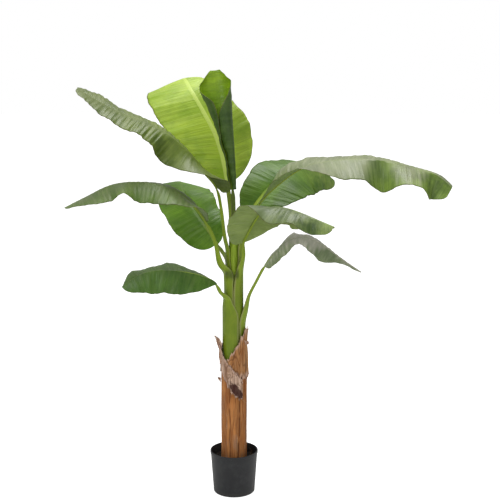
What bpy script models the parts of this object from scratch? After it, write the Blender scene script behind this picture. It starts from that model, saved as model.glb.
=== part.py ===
"""Potted banana plant: a nursery pot with its filling, a trunk in dry husk, and ten leaves.

Metres, +Z up. The origin is the middle of the pot's underside, and -Y is the front.
Every leaf is a stalk and a blade. The stalk starts as a sheath that hugs the stem, leaves it as a
channelled petiole and runs on under the blade as its midrib. The blade is a thin waved sheet.
"""
import math

import bmesh
import bpy
import numpy as np

# Driving dimensions: pot and filling
POT_HEIGHT = 0.180
RIM_RADIUS = 0.100
BASE_RADIUS = 0.0865
POT_WALL = 0.003
LIP_DEPTH = 0.012
LIP_PROUD = 0.0015
FILL_TOP = 0.142
FIT_GAP = 0.0003

# Driving dimensions: trunk
BARK_FOOT = 0.060
BARK_TOP = 0.566
BARK_RADIUS = 0.0525
RIDGE = 0.0020
HUSK_THICK = 0.0012
STEM_STEP = 0.850
STEM_TOP = 1.130
LAYER = 0.0046
SHEATH_WALL = 0.0034
OUTER_FOOT = BARK_TOP + FIT_GAP
INNER_FOOT = STEM_STEP + FIT_GAP
TOP_FOOT = STEM_TOP + FIT_GAP

# Driving dimensions: leaves
BLADE_THICK = 0.0009
STALK_THICK = 0.0080
STALK_WIDTH = 0.0090
EDGE_WALL = 0.0010

# How finely the shapes are divided
CURVE_STEPS = 24
RIB_ROWS = 14
HALF_COLUMNS = 4
SHEATH_ROWS = 3
PETIOLE_ROWS = 6
ARC_POINTS = 5
STEM_SIDES = 20
POT_SIDES = 32
BARK_SIDES = 32
BARK_ROWS = 10
HUSK_COLUMNS = 12
HUSK_ROWS = 5
SMOOTH_ANGLE = 40

# Pot, filling and trunk shapes
FOOT_ROUND = 0.005
LIP_SHADOW = 0.0006
HOLE_RADIUS = 0.0553
FILL_RINGS = (0.0, 0.3, 0.6, 1.0)
LUMP = 0.0015
LUMPS = [(5, 60, 0), (8, 0, 1)]
CORE_LAYERS = 3
STEM_PROFILE = [(0.56, 0.0245), (0.85, 0.0235), (1.00, 0.0220), (1.13, 0.0115)]
RIDGES = [(0.45, 3, 4), (0.35, 7, -5), (0.20, 12, 9)]
HUSK_TEAR = 0.004
HUSK_TEETH = (23, 17)
HUSK_HUG = 0.004
HUG_START = 0.012
HUG_RUN = 0.10
HUSK_LAYER = 0.0024

# Stalk shapes, as lengths from the mouth of the sheath
LEAVE_FROM = -0.07
LEAVE_RUN = 0.09
CURL_FROM = 0.005
CURL_RUN = 0.05
FLATTEN_RUN = 0.03
CHANNEL_BEND = 1.2
SHOULDER = 1.2
SHOULDER_RUN = 0.6
FLAT_BEND = 0.5
RIB_SHARE = 0.8
RIB_TIP_DEPTH = 0.0015

# Blade shapes
STRIP_BASE = 0.005
STRIP_TIP = 0.0015
RIB_CLEAR = 0.0015
BASE_RUN = 0.30
TIP_FROM = 0.50
NARROWEST = 0.03
WAVE_GROWTH = 1.6


def leaf(colour, azimuth, layer, sheath, span, petiole, midrib, left, right, **more):
    """One leaf: where its sheath sits on the stem, its line in space and its two halves."""
    plan = dict(colour=colour, azimuth=azimuth, layer=layer, sheath=sheath, span=span,
                petiole=petiole, midrib=midrib, left=left, right=right, roll=(0, 0), base=0.45,
                tip=0.55, columns=HALF_COLUMNS, shoulder=SHOULDER, rows=RIB_ROWS)
    plan.update(more)
    return plan


def half(width, lift, curl, **more):
    """One half of a blade: its widest measure, and its slope and bend in degrees along the rib."""
    plan = dict(width=width, lift=lift, curl=curl, wide=(1, 1), sweep=(12, 12), wave=0.0,
                waves=4, tip=None)
    plan.update(more)
    return plan


LEAVES = {
    "01": leaf(  # low, to the left
        (0.07, 0.15, 0.03), 230, 4, (OUTER_FOOT, 0.830), 66,
        petiole=[(-0.054, -0.058, 0.874)],
        midrib=[(-0.070, -0.074, 0.910), (-0.130, -0.105, 0.948), (-0.210, -0.130, 0.970),
                (-0.300, -0.150, 0.977), (-0.365, -0.168, 0.964), (-0.433, -0.190, 0.920)],
        left=half(0.098, (-50, -60, -62, -60, -50), (-20, -20, -25, -20), wave=0.003, waves=6,
                  wide=(0.50, 0.95, 1.00, 1.00, 1.00)),
        right=half(0.095, (10, 22, 32, 36, 32, 25, 45, 20), (-40, -40, -40, -40),
                   sweep=(-50, 0, 10, 12, 12), wave=0.003, waves=3, tip=0.8),
        roll=(-13, -13)),
    "02": leaf(  # low, to the right
        (0.10, 0.18, 0.05), 340, 4, (OUTER_FOOT, 0.725), 36,
        petiole=[(0.051, -0.018, 0.785), (0.063, -0.022, 0.850), (0.090, -0.027, 0.908)],
        midrib=[(0.127, -0.045, 0.980), (0.171, -0.080, 1.037), (0.217, -0.110, 1.088),
                (0.268, -0.125, 1.106), (0.341, -0.150, 1.086), (0.422, -0.175, 1.030),
                (0.499, -0.200, 0.981)],
        left=half(0.070, (10, 12, 10, 0, -15, -20, -20, -20), (-35, -35, -35, -35),
                  wave=0.004, waves=4, wide=(1.0, 1.0, 1.0, 0.8, 0.3, 0.2)),
        right=half(0.085, (-10, -7, 0, 15, 6, -42, -24, 0), (-20, -20, -20, -20),
                   wave=0.003, waves=3, wide=(1.1, 1.0, 1.0, 1.0, 1.0, 0.62, 0.2, 0.2)),
        shoulder=2.2, roll=(14, 14)),
    "03": leaf(  # middle, far out to the left
        (0.11, 0.20, 0.07), 225, 3, (OUTER_FOOT, 0.930), 42,
        petiole=[(-0.054, -0.054, 0.985), (-0.071, -0.074, 1.075)],
        midrib=[(-0.108, -0.098, 1.165), (-0.141, -0.118, 1.217), (-0.182, -0.140, 1.260),
                (-0.258, -0.168, 1.308), (-0.350, -0.200, 1.332), (-0.445, -0.240, 1.330),
                (-0.554, -0.280, 1.284), (-0.628, -0.300, 1.248)],
        left=half(0.108, (10, 8, -8, -25, -35, -38, -32, -10, -20, -12, 0, 0),
                  (-20, -20, -20, -20)),
        right=half(0.100, (40, 38, 32, 15, 5, 0, 0, 0), (-45, -45, -45, -45), wave=0.004,
                   waves=3),
        rows=17, shoulder=2.3, roll=(-16, -16)),
    "04": leaf(  # front, to the right
        (0.16, 0.20, 0.10), 317, 3, (OUTER_FOOT, 0.930), 48,
        petiole=[(0.040, -0.064, 1.020)],
        midrib=[(0.041, -0.090, 1.078), (0.062, -0.115, 1.126), (0.083, -0.145, 1.170),
                (0.113, -0.190, 1.218), (0.151, -0.240, 1.243), (0.206, -0.300, 1.245),
                (0.271, -0.350, 1.229), (0.324, -0.390, 1.211), (0.371, -0.420, 1.195)],
        left=half(0.105, (-35, -40, -50, -55, -45, -25, -20), (-20, -20, -30, -30), wave=0.004,
                  waves=3, wide=(0.65, 0.95, 0.96, 1.00, 1.00), sweep=(30, 15, 12)),
        right=half(0.115, (10, 14, 25, 25, -12, 0, -45, -40), (-10, -20, -30, -30),
                   sweep=(-15, 0, 10, 25, 30), wide=(1.0, 1.0, 0.9, 0.8, 0.8)),
        rows=17, shoulder=1.6, roll=(-6, -6)),
    "05": leaf(  # back, to the left
        (0.08, 0.19, 0.03), 135, 2, (INNER_FOOT, 0.975), 40,
        petiole=[(-0.050, 0.055, 1.020)],
        midrib=[(-0.068, 0.070, 1.045), (-0.111, 0.100, 1.102), (-0.155, 0.150, 1.155),
                (-0.196, 0.210, 1.208), (-0.221, 0.280, 1.250), (-0.234, 0.360, 1.268),
                (-0.238, 0.440, 1.258)],
        left=half(0.119, (-24, -26, -28, -20, -20), (-10, -15, -20, -20), wave=0.004,
                  waves=3, sweep=(-15, 5, 12)),
        right=half(0.125, (30, 35, 35, 20, 0), (-15, -20, -30, -20), wave=0.004, waves=3,
                   wide=(0.60, 0.85, 1.00, 1.00))),
    "06": leaf(  # back, to the right
        (0.08, 0.18, 0.04), 52, 2, (INNER_FOOT, 0.990), 38,
        petiole=[(0.042, 0.060, 1.100)],
        midrib=[(0.067, 0.085, 1.172), (0.113, 0.120, 1.234), (0.159, 0.155, 1.284),
                (0.215, 0.200, 1.327), (0.284, 0.260, 1.352), (0.360, 0.310, 1.338),
                (0.432, 0.345, 1.278)],
        left=half(0.095, (60, 50, 26, 12, 5, 0), (-10, -15, -20, -20), wave=0.003,
                  waves=3, sweep=(-35, 0, 12), wide=(0.90, 1.05, 1.20, 0.50, 0.40)),
        right=half(0.148, (-8, -16, -28, -38, -42), (-10, -15, -20, -20), wave=0.004,
                   waves=3, sweep=(20, 16, 4, 6, 45), tip=0.62)),
    "07": leaf(  # long, out to the right
        (0.16, 0.24, 0.09), 358, 1, (INNER_FOOT, 1.020), 56,
        petiole=[(0.058, 0.002, 1.136)],
        midrib=[(0.103, 0.000, 1.222), (0.187, -0.010, 1.308), (0.282, -0.025, 1.373),
                (0.384, -0.040, 1.398), (0.490, -0.055, 1.408), (0.595, -0.070, 1.402),
                (0.703, -0.085, 1.376), (0.805, -0.095, 1.345), (0.860, -0.100, 1.300)],
        left=half(0.115, (0, 32, 16, 8, 6, 2, 0, 20), (-35, -35, -35, -35),
                  wave=0.003, waves=4, tip=0.40),
        right=half(0.130, (15, 26, 25, 14, -4, -18, -20, -56, -20, -14, -62, -45),
                   (-12, -12, -12, -12), tip=0.25),
        rows=19, roll=(5, 5)),
    "08": leaf(  # high, to the left
        (0.13, 0.19, 0.06), 193, 1, (INNER_FOOT, 1.020), 56,
        petiole=[(-0.034, -0.034, 1.090), (-0.047, -0.045, 1.215)],
        midrib=[(-0.064, -0.055, 1.293), (-0.118, -0.075, 1.363), (-0.183, -0.090, 1.447),
                (-0.252, -0.105, 1.508), (-0.324, -0.115, 1.550), (-0.426, -0.125, 1.590),
                (-0.515, -0.140, 1.637), (-0.593, -0.150, 1.686)],
        left=half(0.108, (75, 56, 18, -34, -60, -22, -12, -10, -8, -5, 0, 0),
                  (-20, -20, -20, -20), tip=0.40, wide=(1.3, 0.95, 1.0, 1.0, 1.0),
                  sweep=(-60, 5, 12, 12)),
        right=half(0.100, (50, 16, 4, 10, 12, 16, 25, 15), (-30, -30, -30, -30),
                   sweep=(-70, -20, 10, 12, 12), tip=0.40,
                   wide=(1.6, 1.2, 1.0, 1.0, 1.0)),
        roll=(-6, -6)),
    "09": leaf(  # upright and broad, behind the furled one
        (0.32, 0.48, 0.06), 102, 0, (INNER_FOOT, 1.060), 60,
        petiole=[(-0.015, 0.066, 1.208)],
        midrib=[(-0.027, 0.090, 1.296), (-0.044, 0.110, 1.389), (-0.073, 0.135, 1.485),
                (-0.119, 0.170, 1.572), (-0.176, 0.230, 1.665), (-0.210, 0.320, 1.712),
                (-0.235, 0.420, 1.700), (-0.250, 0.500, 1.650)],
        left=half(0.175, (-5, -5, -3, -2, -5, -20), (-10, -10, -10, -20), wave=0.004, waves=4,
                  wide=(0.85, 0.95, 1.05, 1.05, 1.0)),
        right=half(0.150, (10, 5, 0, -10), (-10, -10, -20, -20), wave=0.004, waves=4,
                   wide=(1.0, 1.0, 0.74, 0.55, 0.5))),
    "10": leaf(  # young and furled, at the top
        (0.10, 0.18, 0.05), 90, -1, (TOP_FOOT, 1.150), 74,
        petiole=[(0.000, 0.008, 1.210)],
        midrib=[(-0.003, 0.012, 1.278), (-0.013, 0.024, 1.397), (-0.034, 0.040, 1.516),
                (-0.056, 0.058, 1.635), (-0.070, 0.068, 1.714), (-0.074, 0.072, 1.752)],
        left=half(0.130, (0, 0), (150, 150, 142, 140, 162, 150, 78, 30),
                  wide=(0.16, 0.22, 0.305, 0.47, 0.74, 1.05, 0.68, 0.11), sweep=(5, 5)),
        right=half(0.160, (0, 0), (280, 275, 262, 246, 213, 150, 85, 30),
                   wide=(0.245, 0.33, 0.456, 0.67, 0.79, 0.74, 0.50, 0.09), sweep=(5, 5)),
        base=0.0, tip=0.0, columns=9, shoulder=0.0),
}

HUSKS = {
    "husk_left": dict(angles=(168, 308), layer=1,
                      low=(0.610, 0.560, 0.490, 0.435, 0.415),
                      high=(0.668, 0.655, 0.584, 0.540, 0.490),
                      flare=(0.022, 0.010, 0.0, 0.0, 0.001)),
    "husk_right": dict(angles=(244, 420), layer=0,
                       low=(0.530, 0.510, 0.500, 0.510, 0.520),
                       high=(0.584, 0.650, 0.712, 0.690, 0.630),
                       flare=(0.0, 0.0, 0.003, 0.004, 0.002)),
    "husk_back": dict(angles=(64, 164), layer=0, low=(0.510, 0.500, 0.520),
                      high=(0.625, 0.650, 0.610), flare=(0.002, 0.008, 0.002)),
}


def unit(rows):
    """Each row scaled to length one."""
    return rows / np.linalg.norm(rows, axis=-1, keepdims=True)


def ease(value):
    """0 to 1 with a soft start and end, held outside that range."""
    t = np.clip(value, 0, 1)
    return t * t * (3 - 2 * t)


def spread(values, share):
    """Values set evenly over 0 to 1 and joined smoothly, read at each share."""
    knots = np.array(values, float)
    knots = np.concatenate([[2 * knots[0] - knots[1]], knots, [2 * knots[-1] - knots[-2]]])
    place = np.clip(share, 0, 1) * (len(values) - 1)
    first = np.minimum(place.astype(int), len(values) - 2)
    t = place - first
    a, b, c, d = (knots[first + k] for k in range(4))
    return 0.5 * (2 * b + (c - a) * t + (2 * a - 5 * b + 4 * c - d) * t ** 2
                  + (3 * b - a - 3 * c + d) * t ** 3)


def smooth_line(points, start):
    """A smooth line through the points that sets out along start, and the length at each point."""
    points = np.array(points, float)
    chord = np.linalg.norm(np.diff(points, axis=0), axis=1)
    slope = np.diff(points, axis=0) / chord[:, None]
    inner = (slope[:-1] * chord[1:, None] + slope[1:] * chord[:-1, None])
    inner /= (chord[1:] + chord[:-1])[:, None]
    tangent = np.vstack([start, inner, slope[-1]])
    t = np.linspace(0, 1, CURVE_STEPS, endpoint=False)[:, None]
    line = []
    for k, run in enumerate(chord):
        line.append((2 * t ** 3 - 3 * t ** 2 + 1) * points[k]
                    + (t ** 3 - 2 * t ** 2 + t) * run * tangent[k]
                    + (3 * t ** 2 - 2 * t ** 3) * points[k + 1]
                    + (t ** 3 - t ** 2) * run * tangent[k + 1])
    line = np.vstack(line + [points[-1:]])
    along = np.concatenate([[0], np.cumsum(np.linalg.norm(np.diff(line, axis=0), axis=1))])
    return line, along, along[::CURVE_STEPS]


def sample_line(values, along, places):
    """Values known along a line, read at other places on it."""
    return np.stack([np.interp(places, along, values[:, k]) for k in range(values.shape[1])], 1)


def carried_normals(line, first):
    """Tangents of a line, and a normal carried along it without twist."""
    tangents = unit(np.gradient(line, axis=0))
    normals = []
    normal = np.array(first, float)
    for tangent in tangents:
        normal = normal - tangent * (normal @ tangent)
        normal /= np.linalg.norm(normal)
        normals.append(normal)
    return tangents, np.array(normals)


def stem_axis(z):
    """The middle of the stem at a height."""
    z = np.asarray(z, float)
    return np.stack([0 * z, 0 * z, z], -1)


def layer_radius(layer, z):
    """Inner radius of the sheaths in one layer round the stem."""
    heights, radii = zip(*STEM_PROFILE)
    return np.interp(z, heights, radii) + layer * LAYER + FIT_GAP


def sheath_radius(plan, z):
    """Inner radius of a leaf's sheath, whose flat facets must clear the layer inside it."""
    facet = math.radians(plan["span"]) / (ARC_POINTS - 1)
    return layer_radius(plan["layer"], z) / math.cos(facet)


def leaf_stations(plan):
    """The leaf's line from the foot of its sheath to its tip, read where its sections stand."""
    angle = math.radians(plan["azimuth"])
    away = np.array([math.cos(angle), math.sin(angle), 0.0])
    low, mouth = plan["sheath"]
    heights = np.linspace(low, mouth, CURVE_STEPS)
    sheath = stem_axis(heights) + away * sheath_radius(plan, heights)[:, None]
    rise = unit(sheath[-1] - sheath[-2])
    points = [sheath[-1]] + plan["petiole"] + plan["midrib"]
    free, along, marks = smooth_line(points, rise)
    line = np.vstack([sheath[:-1], free])
    reach = np.concatenate([heights[:-1] - mouth, along])
    tangents, normals = carried_normals(line, -away)
    base = marks[1 + len(plan["petiole"])]
    length = along[-1]
    places = np.concatenate([
        np.linspace(low - mouth, 0, SHEATH_ROWS, endpoint=False),
        np.linspace(0, base, PETIOLE_ROWS, endpoint=False),
        np.linspace(base, length, plan["rows"])])
    share = np.clip((places - base) / (length - base), 0, 1)
    turn = np.radians(spread(plan["roll"], share)) * ease(places / base)
    place = sample_line(line, reach, places)
    along_leaf = unit(sample_line(tangents, reach, places))
    normal = sample_line(normals, reach, places)
    normal = unit(normal - along_leaf * (normal * along_leaf).sum(1, keepdims=True))
    across = np.cross(along_leaf, normal)
    up = normal * np.cos(turn)[:, None] + across * np.sin(turn)[:, None]
    across = across * np.cos(turn)[:, None] - normal * np.sin(turn)[:, None]
    return dict(place=place, along=along_leaf, up=up, across=across, reach=places, base=base,
                share=share)


def stalk_rings(plan, row):
    """Closed sections of a stalk: a crescent on the stem, then a channel, then a half round rib."""
    reach, base = row["reach"], row["base"]
    radius = sheath_radius(plan, row["place"][:, 2])
    leave = ease((reach - LEAVE_FROM) / LEAVE_RUN)
    curl_in = ease((reach - CURL_FROM) / CURL_RUN)
    flatten = ease((reach - base + FLATTEN_RUN) / FLATTEN_RUN)
    taper = 1 - row["share"]
    shoulder = 1 + plan["shoulder"] * (1 - ease(reach / (SHOULDER_RUN * base)))
    sheath_arc = radius * math.radians(plan["span"])
    half_arc = sheath_arc * (1 - leave) + STALK_WIDTH * shoulder * leave
    half_arc = half_arc * (1 - flatten) + strip_half(row) * flatten
    bend = (1 - curl_in) / radius + curl_in / (CHANNEL_BEND * STALK_WIDTH * shoulder)
    bend = bend * (1 - flatten) + flatten * FLAT_BEND
    wall = SHEATH_WALL * (1 - leave) + STALK_THICK * leave
    rib = RIB_TIP_DEPTH + (STALK_THICK * RIB_SHARE - RIB_TIP_DEPTH) * taper
    wall = wall * (1 - flatten) + rib * flatten
    rings = []
    for k in range(len(reach)):
        angles = np.linspace(-1, 1, ARC_POINTS) * half_arc[k] * bend[k]
        thick = EDGE_WALL + (wall[k] - EDGE_WALL) * (1 - np.linspace(-1, 1, ARC_POINTS) ** 2)
        inner = arc_points(row, k, 1 / bend[k], angles, 0 * thick)
        outer = arc_points(row, k, 1 / bend[k], angles, thick)
        rings.append(np.vstack([inner, outer[::-1]]))
    return np.array(rings)


def arc_points(row, k, radius, angles, thick):
    """Points on an arc bowed away from the upper side, thick below it."""
    hub = row["place"][k] + row["up"][k] * radius
    spoke = row["across"][k] * np.sin(angles)[:, None] - row["up"][k] * np.cos(angles)[:, None]
    return hub + spoke * (radius + thick)[:, None]


def strip_half(row):
    """Half width of the flat strip where the blade lies on its rib."""
    return STRIP_TIP + (STRIP_BASE - STRIP_TIP) * (1 - row["share"])


def blade_outline(share, base, tip):
    """Share of the full half width along a blade: round at the base, drawn in to the tip."""
    rise = (1 - (1 - np.clip(share / BASE_RUN, 0, 1)) ** 2) ** base
    fall = (1 - (np.clip(share - TIP_FROM, 0, 1) / (1 - TIP_FROM)) ** 2) ** tip
    return np.clip(rise * fall, NARROWEST, 1)


def blade_grid(plan, row):
    """Points of a blade's upper face, [column, row], from its left edge to its right edge."""
    rows = slice(len(row["reach"]) - plan["rows"], None)
    share = row["share"][rows]
    place, along, up, across = (row[key][rows] for key in ("place", "along", "up", "across"))
    seat = place + up * (FIT_GAP + BLADE_THICK)
    strip = strip_half(row)[rows] + RIB_CLEAR
    halves = []
    for side, key in ((-1, "left"), (1, "right")):
        half_plan = plan[key]
        tip = plan["tip"] if half_plan["tip"] is None else half_plan["tip"]
        shape = blade_outline(share, plan["base"], tip)
        width = half_plan["width"] * shape * spread(half_plan["wide"], share)
        lift = np.radians(spread(half_plan["lift"], share))
        curl = np.radians(spread(half_plan["curl"], share))
        sweep = np.radians(spread(half_plan["sweep"], share))
        point = seat + side * across * strip[:, None]
        columns = [point]
        for step in range(plan["columns"]):
            tilt = lift + curl * (step + 0.5) / plan["columns"]
            out = side * across * np.cos(tilt)[:, None] + up * np.sin(tilt)[:, None]
            out = out * np.cos(sweep)[:, None] + along * np.sin(sweep)[:, None]
            point = point + out * (width / plan["columns"])[:, None]
            rise = (step + 1) / plan["columns"]
            face = up * np.cos(tilt)[:, None] - side * across * np.sin(tilt)[:, None]
            swing = np.sin(2 * math.pi * half_plan["waves"] * share)
            wave = half_plan["wave"] * swing * shape * rise ** WAVE_GROWTH
            columns.append(point + face * wave[:, None])
        halves.append(columns)
    return np.array(halves[0][::-1] + halves[1])


def material(name, colour, roughness):
    """A plain Principled material."""
    made = bpy.data.materials.new(name)
    made.use_nodes = True
    shader = made.node_tree.nodes["Principled BSDF"]
    shader.inputs["Base Color"].default_value = (*colour, 1.0)
    shader.inputs["Roughness"].default_value = roughness
    return made


def place_object(name, bm, finish):
    """Link a finished mesh as one named object with its material."""
    mesh = bpy.data.meshes.new(name)
    bm.to_mesh(mesh)
    bm.free()
    made = bpy.data.objects.new(name, mesh)
    bpy.context.collection.objects.link(made)
    mesh.materials.append(finish)
    mesh.shade_smooth()
    mesh.set_sharp_from_angle(angle=math.radians(SMOOTH_ANGLE))
    return made


def shaped_grid(points):
    """A grid whose vertices stand on the points, [column, row], split the same way all over."""
    columns, rows = points.shape[:2]
    bm = bmesh.new()
    bmesh.ops.create_grid(bm, x_segments=columns - 1, y_segments=rows - 1, size=1.0)
    for vert in bm.verts:
        column = round((vert.co.x + 1) / 2 * (columns - 1))
        row = round((vert.co.y + 1) / 2 * (rows - 1))
        vert.co = points[column, row]
    return bm


def closed_tube(rings):
    """A closed skin through rings of points, [row, point], with both ends filled."""
    rings = np.concatenate([rings, rings[:, :1]], axis=1)
    bm = shaped_grid(rings.transpose(1, 0, 2))
    bmesh.ops.remove_doubles(bm, verts=bm.verts, dist=1e-6)
    bmesh.ops.triangulate(bm, faces=bm.faces, quad_method="FIXED")
    ends = [edge for edge in bm.edges if edge.is_boundary]
    bmesh.ops.holes_fill(bm, edges=ends, sides=0)
    bmesh.ops.recalc_face_normals(bm, faces=bm.faces)
    return bm


def thin_sheet(name, points, thickness, finish):
    """A sheet whose upper face is the grid, with both faces split alike."""
    bm = shaped_grid(points)
    bmesh.ops.triangulate(bm, faces=bm.faces, quad_method="FIXED")
    made = place_object(name, bm, finish)
    solid = made.modifiers.new("thickness", "SOLIDIFY")
    solid.thickness = thickness
    solid.offset = -1
    return made


def add_leaf(number, plan, stalk_finish):
    """The stalk and the blade of one leaf."""
    row = leaf_stations(plan)
    place_object(f"stalk_{number}", closed_tube(stalk_rings(plan, row)), stalk_finish)
    blade_finish = material(f"blade_green_{number}", plan["colour"], 0.45)
    thin_sheet(f"blade_{number}", blade_grid(plan, row), BLADE_THICK, blade_finish)


def circle(radius, z, sides):
    """Points of a level circle round the stem's middle."""
    angles = np.arange(sides) / sides * 2 * math.pi
    ring = np.stack([np.cos(angles), np.sin(angles), 0 * angles], 1) * radius
    return ring + stem_axis(z)


def turned(profile, sides):
    """A closed body turned from (radius, height) points that start and end on the axis."""
    bm = bmesh.new()
    verts = [bm.verts.new((radius, 0, height)) for radius, height in profile]
    edges = [bm.edges.new(pair) for pair in zip(verts, verts[1:])]
    bmesh.ops.spin(bm, geom=verts + edges, cent=(0, 0, 0), axis=(0, 0, 1),
                   angle=2 * math.pi, steps=sides, use_merge=True)
    bmesh.ops.remove_doubles(bm, verts=bm.verts, dist=1e-6)
    bmesh.ops.recalc_face_normals(bm, faces=bm.faces)
    return bm


def pot_inner_radius(z):
    """Inner radius of the pot's wall at a height."""
    share = z / POT_HEIGHT
    return BASE_RADIUS + (RIM_RADIUS - LIP_PROUD - BASE_RADIUS) * share - POT_WALL


def add_pot(finish):
    """The nursery pot: a tapered wall with a narrow lip, open at the top."""
    lip_foot = POT_HEIGHT - LIP_DEPTH
    wall_top = RIM_RADIUS - LIP_PROUD
    profile = [(0, 0)]
    for turn in np.radians((0, 30, 60, 90)):
        profile.append((BASE_RADIUS - FOOT_ROUND * (1 - math.sin(turn)),
                        FOOT_ROUND * (1 - math.cos(turn))))
    profile += [(wall_top - LIP_SHADOW, lip_foot),
                (RIM_RADIUS, lip_foot + LIP_PROUD), (RIM_RADIUS, POT_HEIGHT - LIP_PROUD),
                (wall_top, POT_HEIGHT), (pot_inner_radius(POT_HEIGHT), POT_HEIGHT),
                (pot_inner_radius(POT_WALL), POT_WALL), (0, POT_WALL)]
    place_object("pot", turned(profile, POT_SIDES), finish)


def add_filling(finish):
    """The filling, with a lumpy top and a plain round hole that the trunk stands in."""
    floor = POT_WALL + FIT_GAP
    hole_floor = BARK_FOOT - FIT_GAP
    edge = pot_inner_radius(FILL_TOP) - 2 * FIT_GAP
    rings = [edge + (HOLE_RADIUS - edge) * share for share in FILL_RINGS]
    profile = [(0, floor), (pot_inner_radius(floor) - 2 * FIT_GAP, floor)]
    profile += [(radius, FILL_TOP) for radius in rings]
    profile += [(HOLE_RADIUS, hole_floor), (0, hole_floor)]
    bm = turned(profile, POT_SIDES)
    for vert in bm.verts:
        reach = math.hypot(vert.co.x, vert.co.y)
        if vert.co.z > FILL_TOP - FIT_GAP and rings[-1] + FIT_GAP < reach < edge - FIT_GAP:
            angle = math.atan2(vert.co.y, vert.co.x)
            vert.co.z += LUMP * sum(math.sin(lobes * angle + twist * reach + start)
                                    for lobes, twist, start in LUMPS)
    place_object("filling", bm, finish)


def bark_ring(z):
    """One section of the bark: long ridges and seams that wander a little with height."""
    angles = np.arange(BARK_SIDES) / BARK_SIDES * 2 * math.pi
    ridges = sum(height * np.sin(lobes * angles + twist * z) for height, lobes, twist in RIDGES)
    radius = BARK_RADIUS + RIDGE * ridges
    return np.stack([radius * np.cos(angles), radius * np.sin(angles), 0 * angles + z], 1)


def add_bark(finish):
    """The brown sleeve of dead sheaths round the lower trunk."""
    rings = np.array([bark_ring(z) for z in np.linspace(BARK_FOOT, BARK_TOP, BARK_ROWS)])
    bark = place_object("bark", closed_tube(rings), finish)
    bore_radius = layer_radius(CORE_LAYERS, BARK_FOOT) - 2 * FIT_GAP
    bore = [circle(bore_radius, z, STEM_SIDES) for z in (0, 1)]
    cutter = place_object("bark_bore", closed_tube(np.array(bore)), finish)
    cutter.hide_render = True
    cutter.display_type = "WIRE"
    cut = bark.modifiers.new("bore", "BOOLEAN")
    cut.object = cutter


def add_husk(name, angles, low, high, flare, layer, finish):
    """One torn husk wrapped on the trunk: its lower and upper edge and how far its top peels."""
    share = np.linspace(0, 1, HUSK_COLUMNS)[:, None]
    rise = np.linspace(0, 1, HUSK_ROWS)[None, :]
    turn = np.radians(angles[0] + (angles[1] - angles[0]) * share)
    bottom = spread(low, share) + HUSK_TEAR * np.sin(HUSK_TEETH[0] * turn)
    top = spread(high, share) + HUSK_TEAR * np.sin(HUSK_TEETH[1] * turn)
    z = bottom + (top - bottom) * rise
    hug = HUSK_HUG * ease((z - BARK_TOP - HUG_START) / HUG_RUN)
    facet = math.radians(angles[1] - angles[0]) / (HUSK_COLUMNS - 1)
    inside = (BARK_RADIUS + RIDGE + FIT_GAP) / math.cos(facet / 2)
    radius = inside + HUSK_THICK + layer * HUSK_LAYER - hug + spread(flare, share) * rise ** 3
    points = np.stack([radius * np.cos(turn), radius * np.sin(turn), z], -1)
    thin_sheet(name, points, HUSK_THICK, finish)


def add_stem(finish):
    """The green core: stout up to the inner sheaths, slender above them."""
    stout = [BARK_FOOT, BARK_TOP, STEM_STEP]
    slender = [STEM_STEP, 1.0, STEM_TOP]
    rings = [circle(layer_radius(CORE_LAYERS, z) - 3 * FIT_GAP, z, STEM_SIDES) for z in stout]
    rings += [circle(layer_radius(0, z) - 3 * FIT_GAP, z, STEM_SIDES) for z in slender]
    place_object("stem", closed_tube(np.array(rings)), finish)


def main():
    """Build the whole plant in an empty scene."""
    for old in list(bpy.data.objects):
        bpy.data.objects.remove(old)
    stalk_finish = material("stalk_green", (0.30, 0.42, 0.07), 0.45)
    bark_finish = material("bark_brown", (0.36, 0.18, 0.08), 0.85)
    husk_finish = material("husk_tan", (0.50, 0.33, 0.20), 0.85)
    add_pot(material("pot_black", (0.03, 0.03, 0.03), 0.55))
    add_filling(material("filling_dark", (0.03, 0.025, 0.02), 0.95))
    add_stem(stalk_finish)
    add_bark(bark_finish)
    for name, husk in HUSKS.items():
        add_husk(name, finish=husk_finish, **husk)
    for number, plan in LEAVES.items():
        add_leaf(number, plan, stalk_finish)


main()
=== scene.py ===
"""Looks of the potted banana plant: fine leaves, husky trunk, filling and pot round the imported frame.

Metres, +Z up, -Y towards the viewer. Each fine piece repeats the form of the solid it stands for.
"""
import math
import random

import bmesh
import bpy
import numpy as np
from mathutils import Euler, Matrix, Vector, noise


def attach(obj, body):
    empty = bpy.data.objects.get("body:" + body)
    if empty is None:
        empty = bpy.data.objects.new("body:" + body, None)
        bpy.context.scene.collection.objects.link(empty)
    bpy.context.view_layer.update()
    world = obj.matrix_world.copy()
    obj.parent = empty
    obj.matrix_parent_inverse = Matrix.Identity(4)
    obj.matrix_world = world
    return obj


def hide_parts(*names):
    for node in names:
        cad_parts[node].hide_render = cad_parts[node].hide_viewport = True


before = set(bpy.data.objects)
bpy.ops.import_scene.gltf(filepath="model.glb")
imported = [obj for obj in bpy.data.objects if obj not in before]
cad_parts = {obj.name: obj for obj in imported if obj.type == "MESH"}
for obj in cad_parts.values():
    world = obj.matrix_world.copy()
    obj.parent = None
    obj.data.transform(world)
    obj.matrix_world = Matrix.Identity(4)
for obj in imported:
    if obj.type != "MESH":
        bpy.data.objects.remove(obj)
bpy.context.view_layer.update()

# Pot and filling
POT_HEIGHT = 0.180
RIM_RADIUS = 0.100
BASE_RADIUS = 0.0865
POT_WALL = 0.003
LIP_DEPTH = 0.012
LIP_PROUD = 0.0015
LIP_SHADOW = 0.0006
FOOT_ROUND = 0.005
FILL_TOP = 0.142
LUMP = 0.0015
LUMPS = [(5, 60, 0), (8, 0, 1)]
HOLE_RADIUS = 0.0553
FIT_GAP = 0.0003

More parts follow.
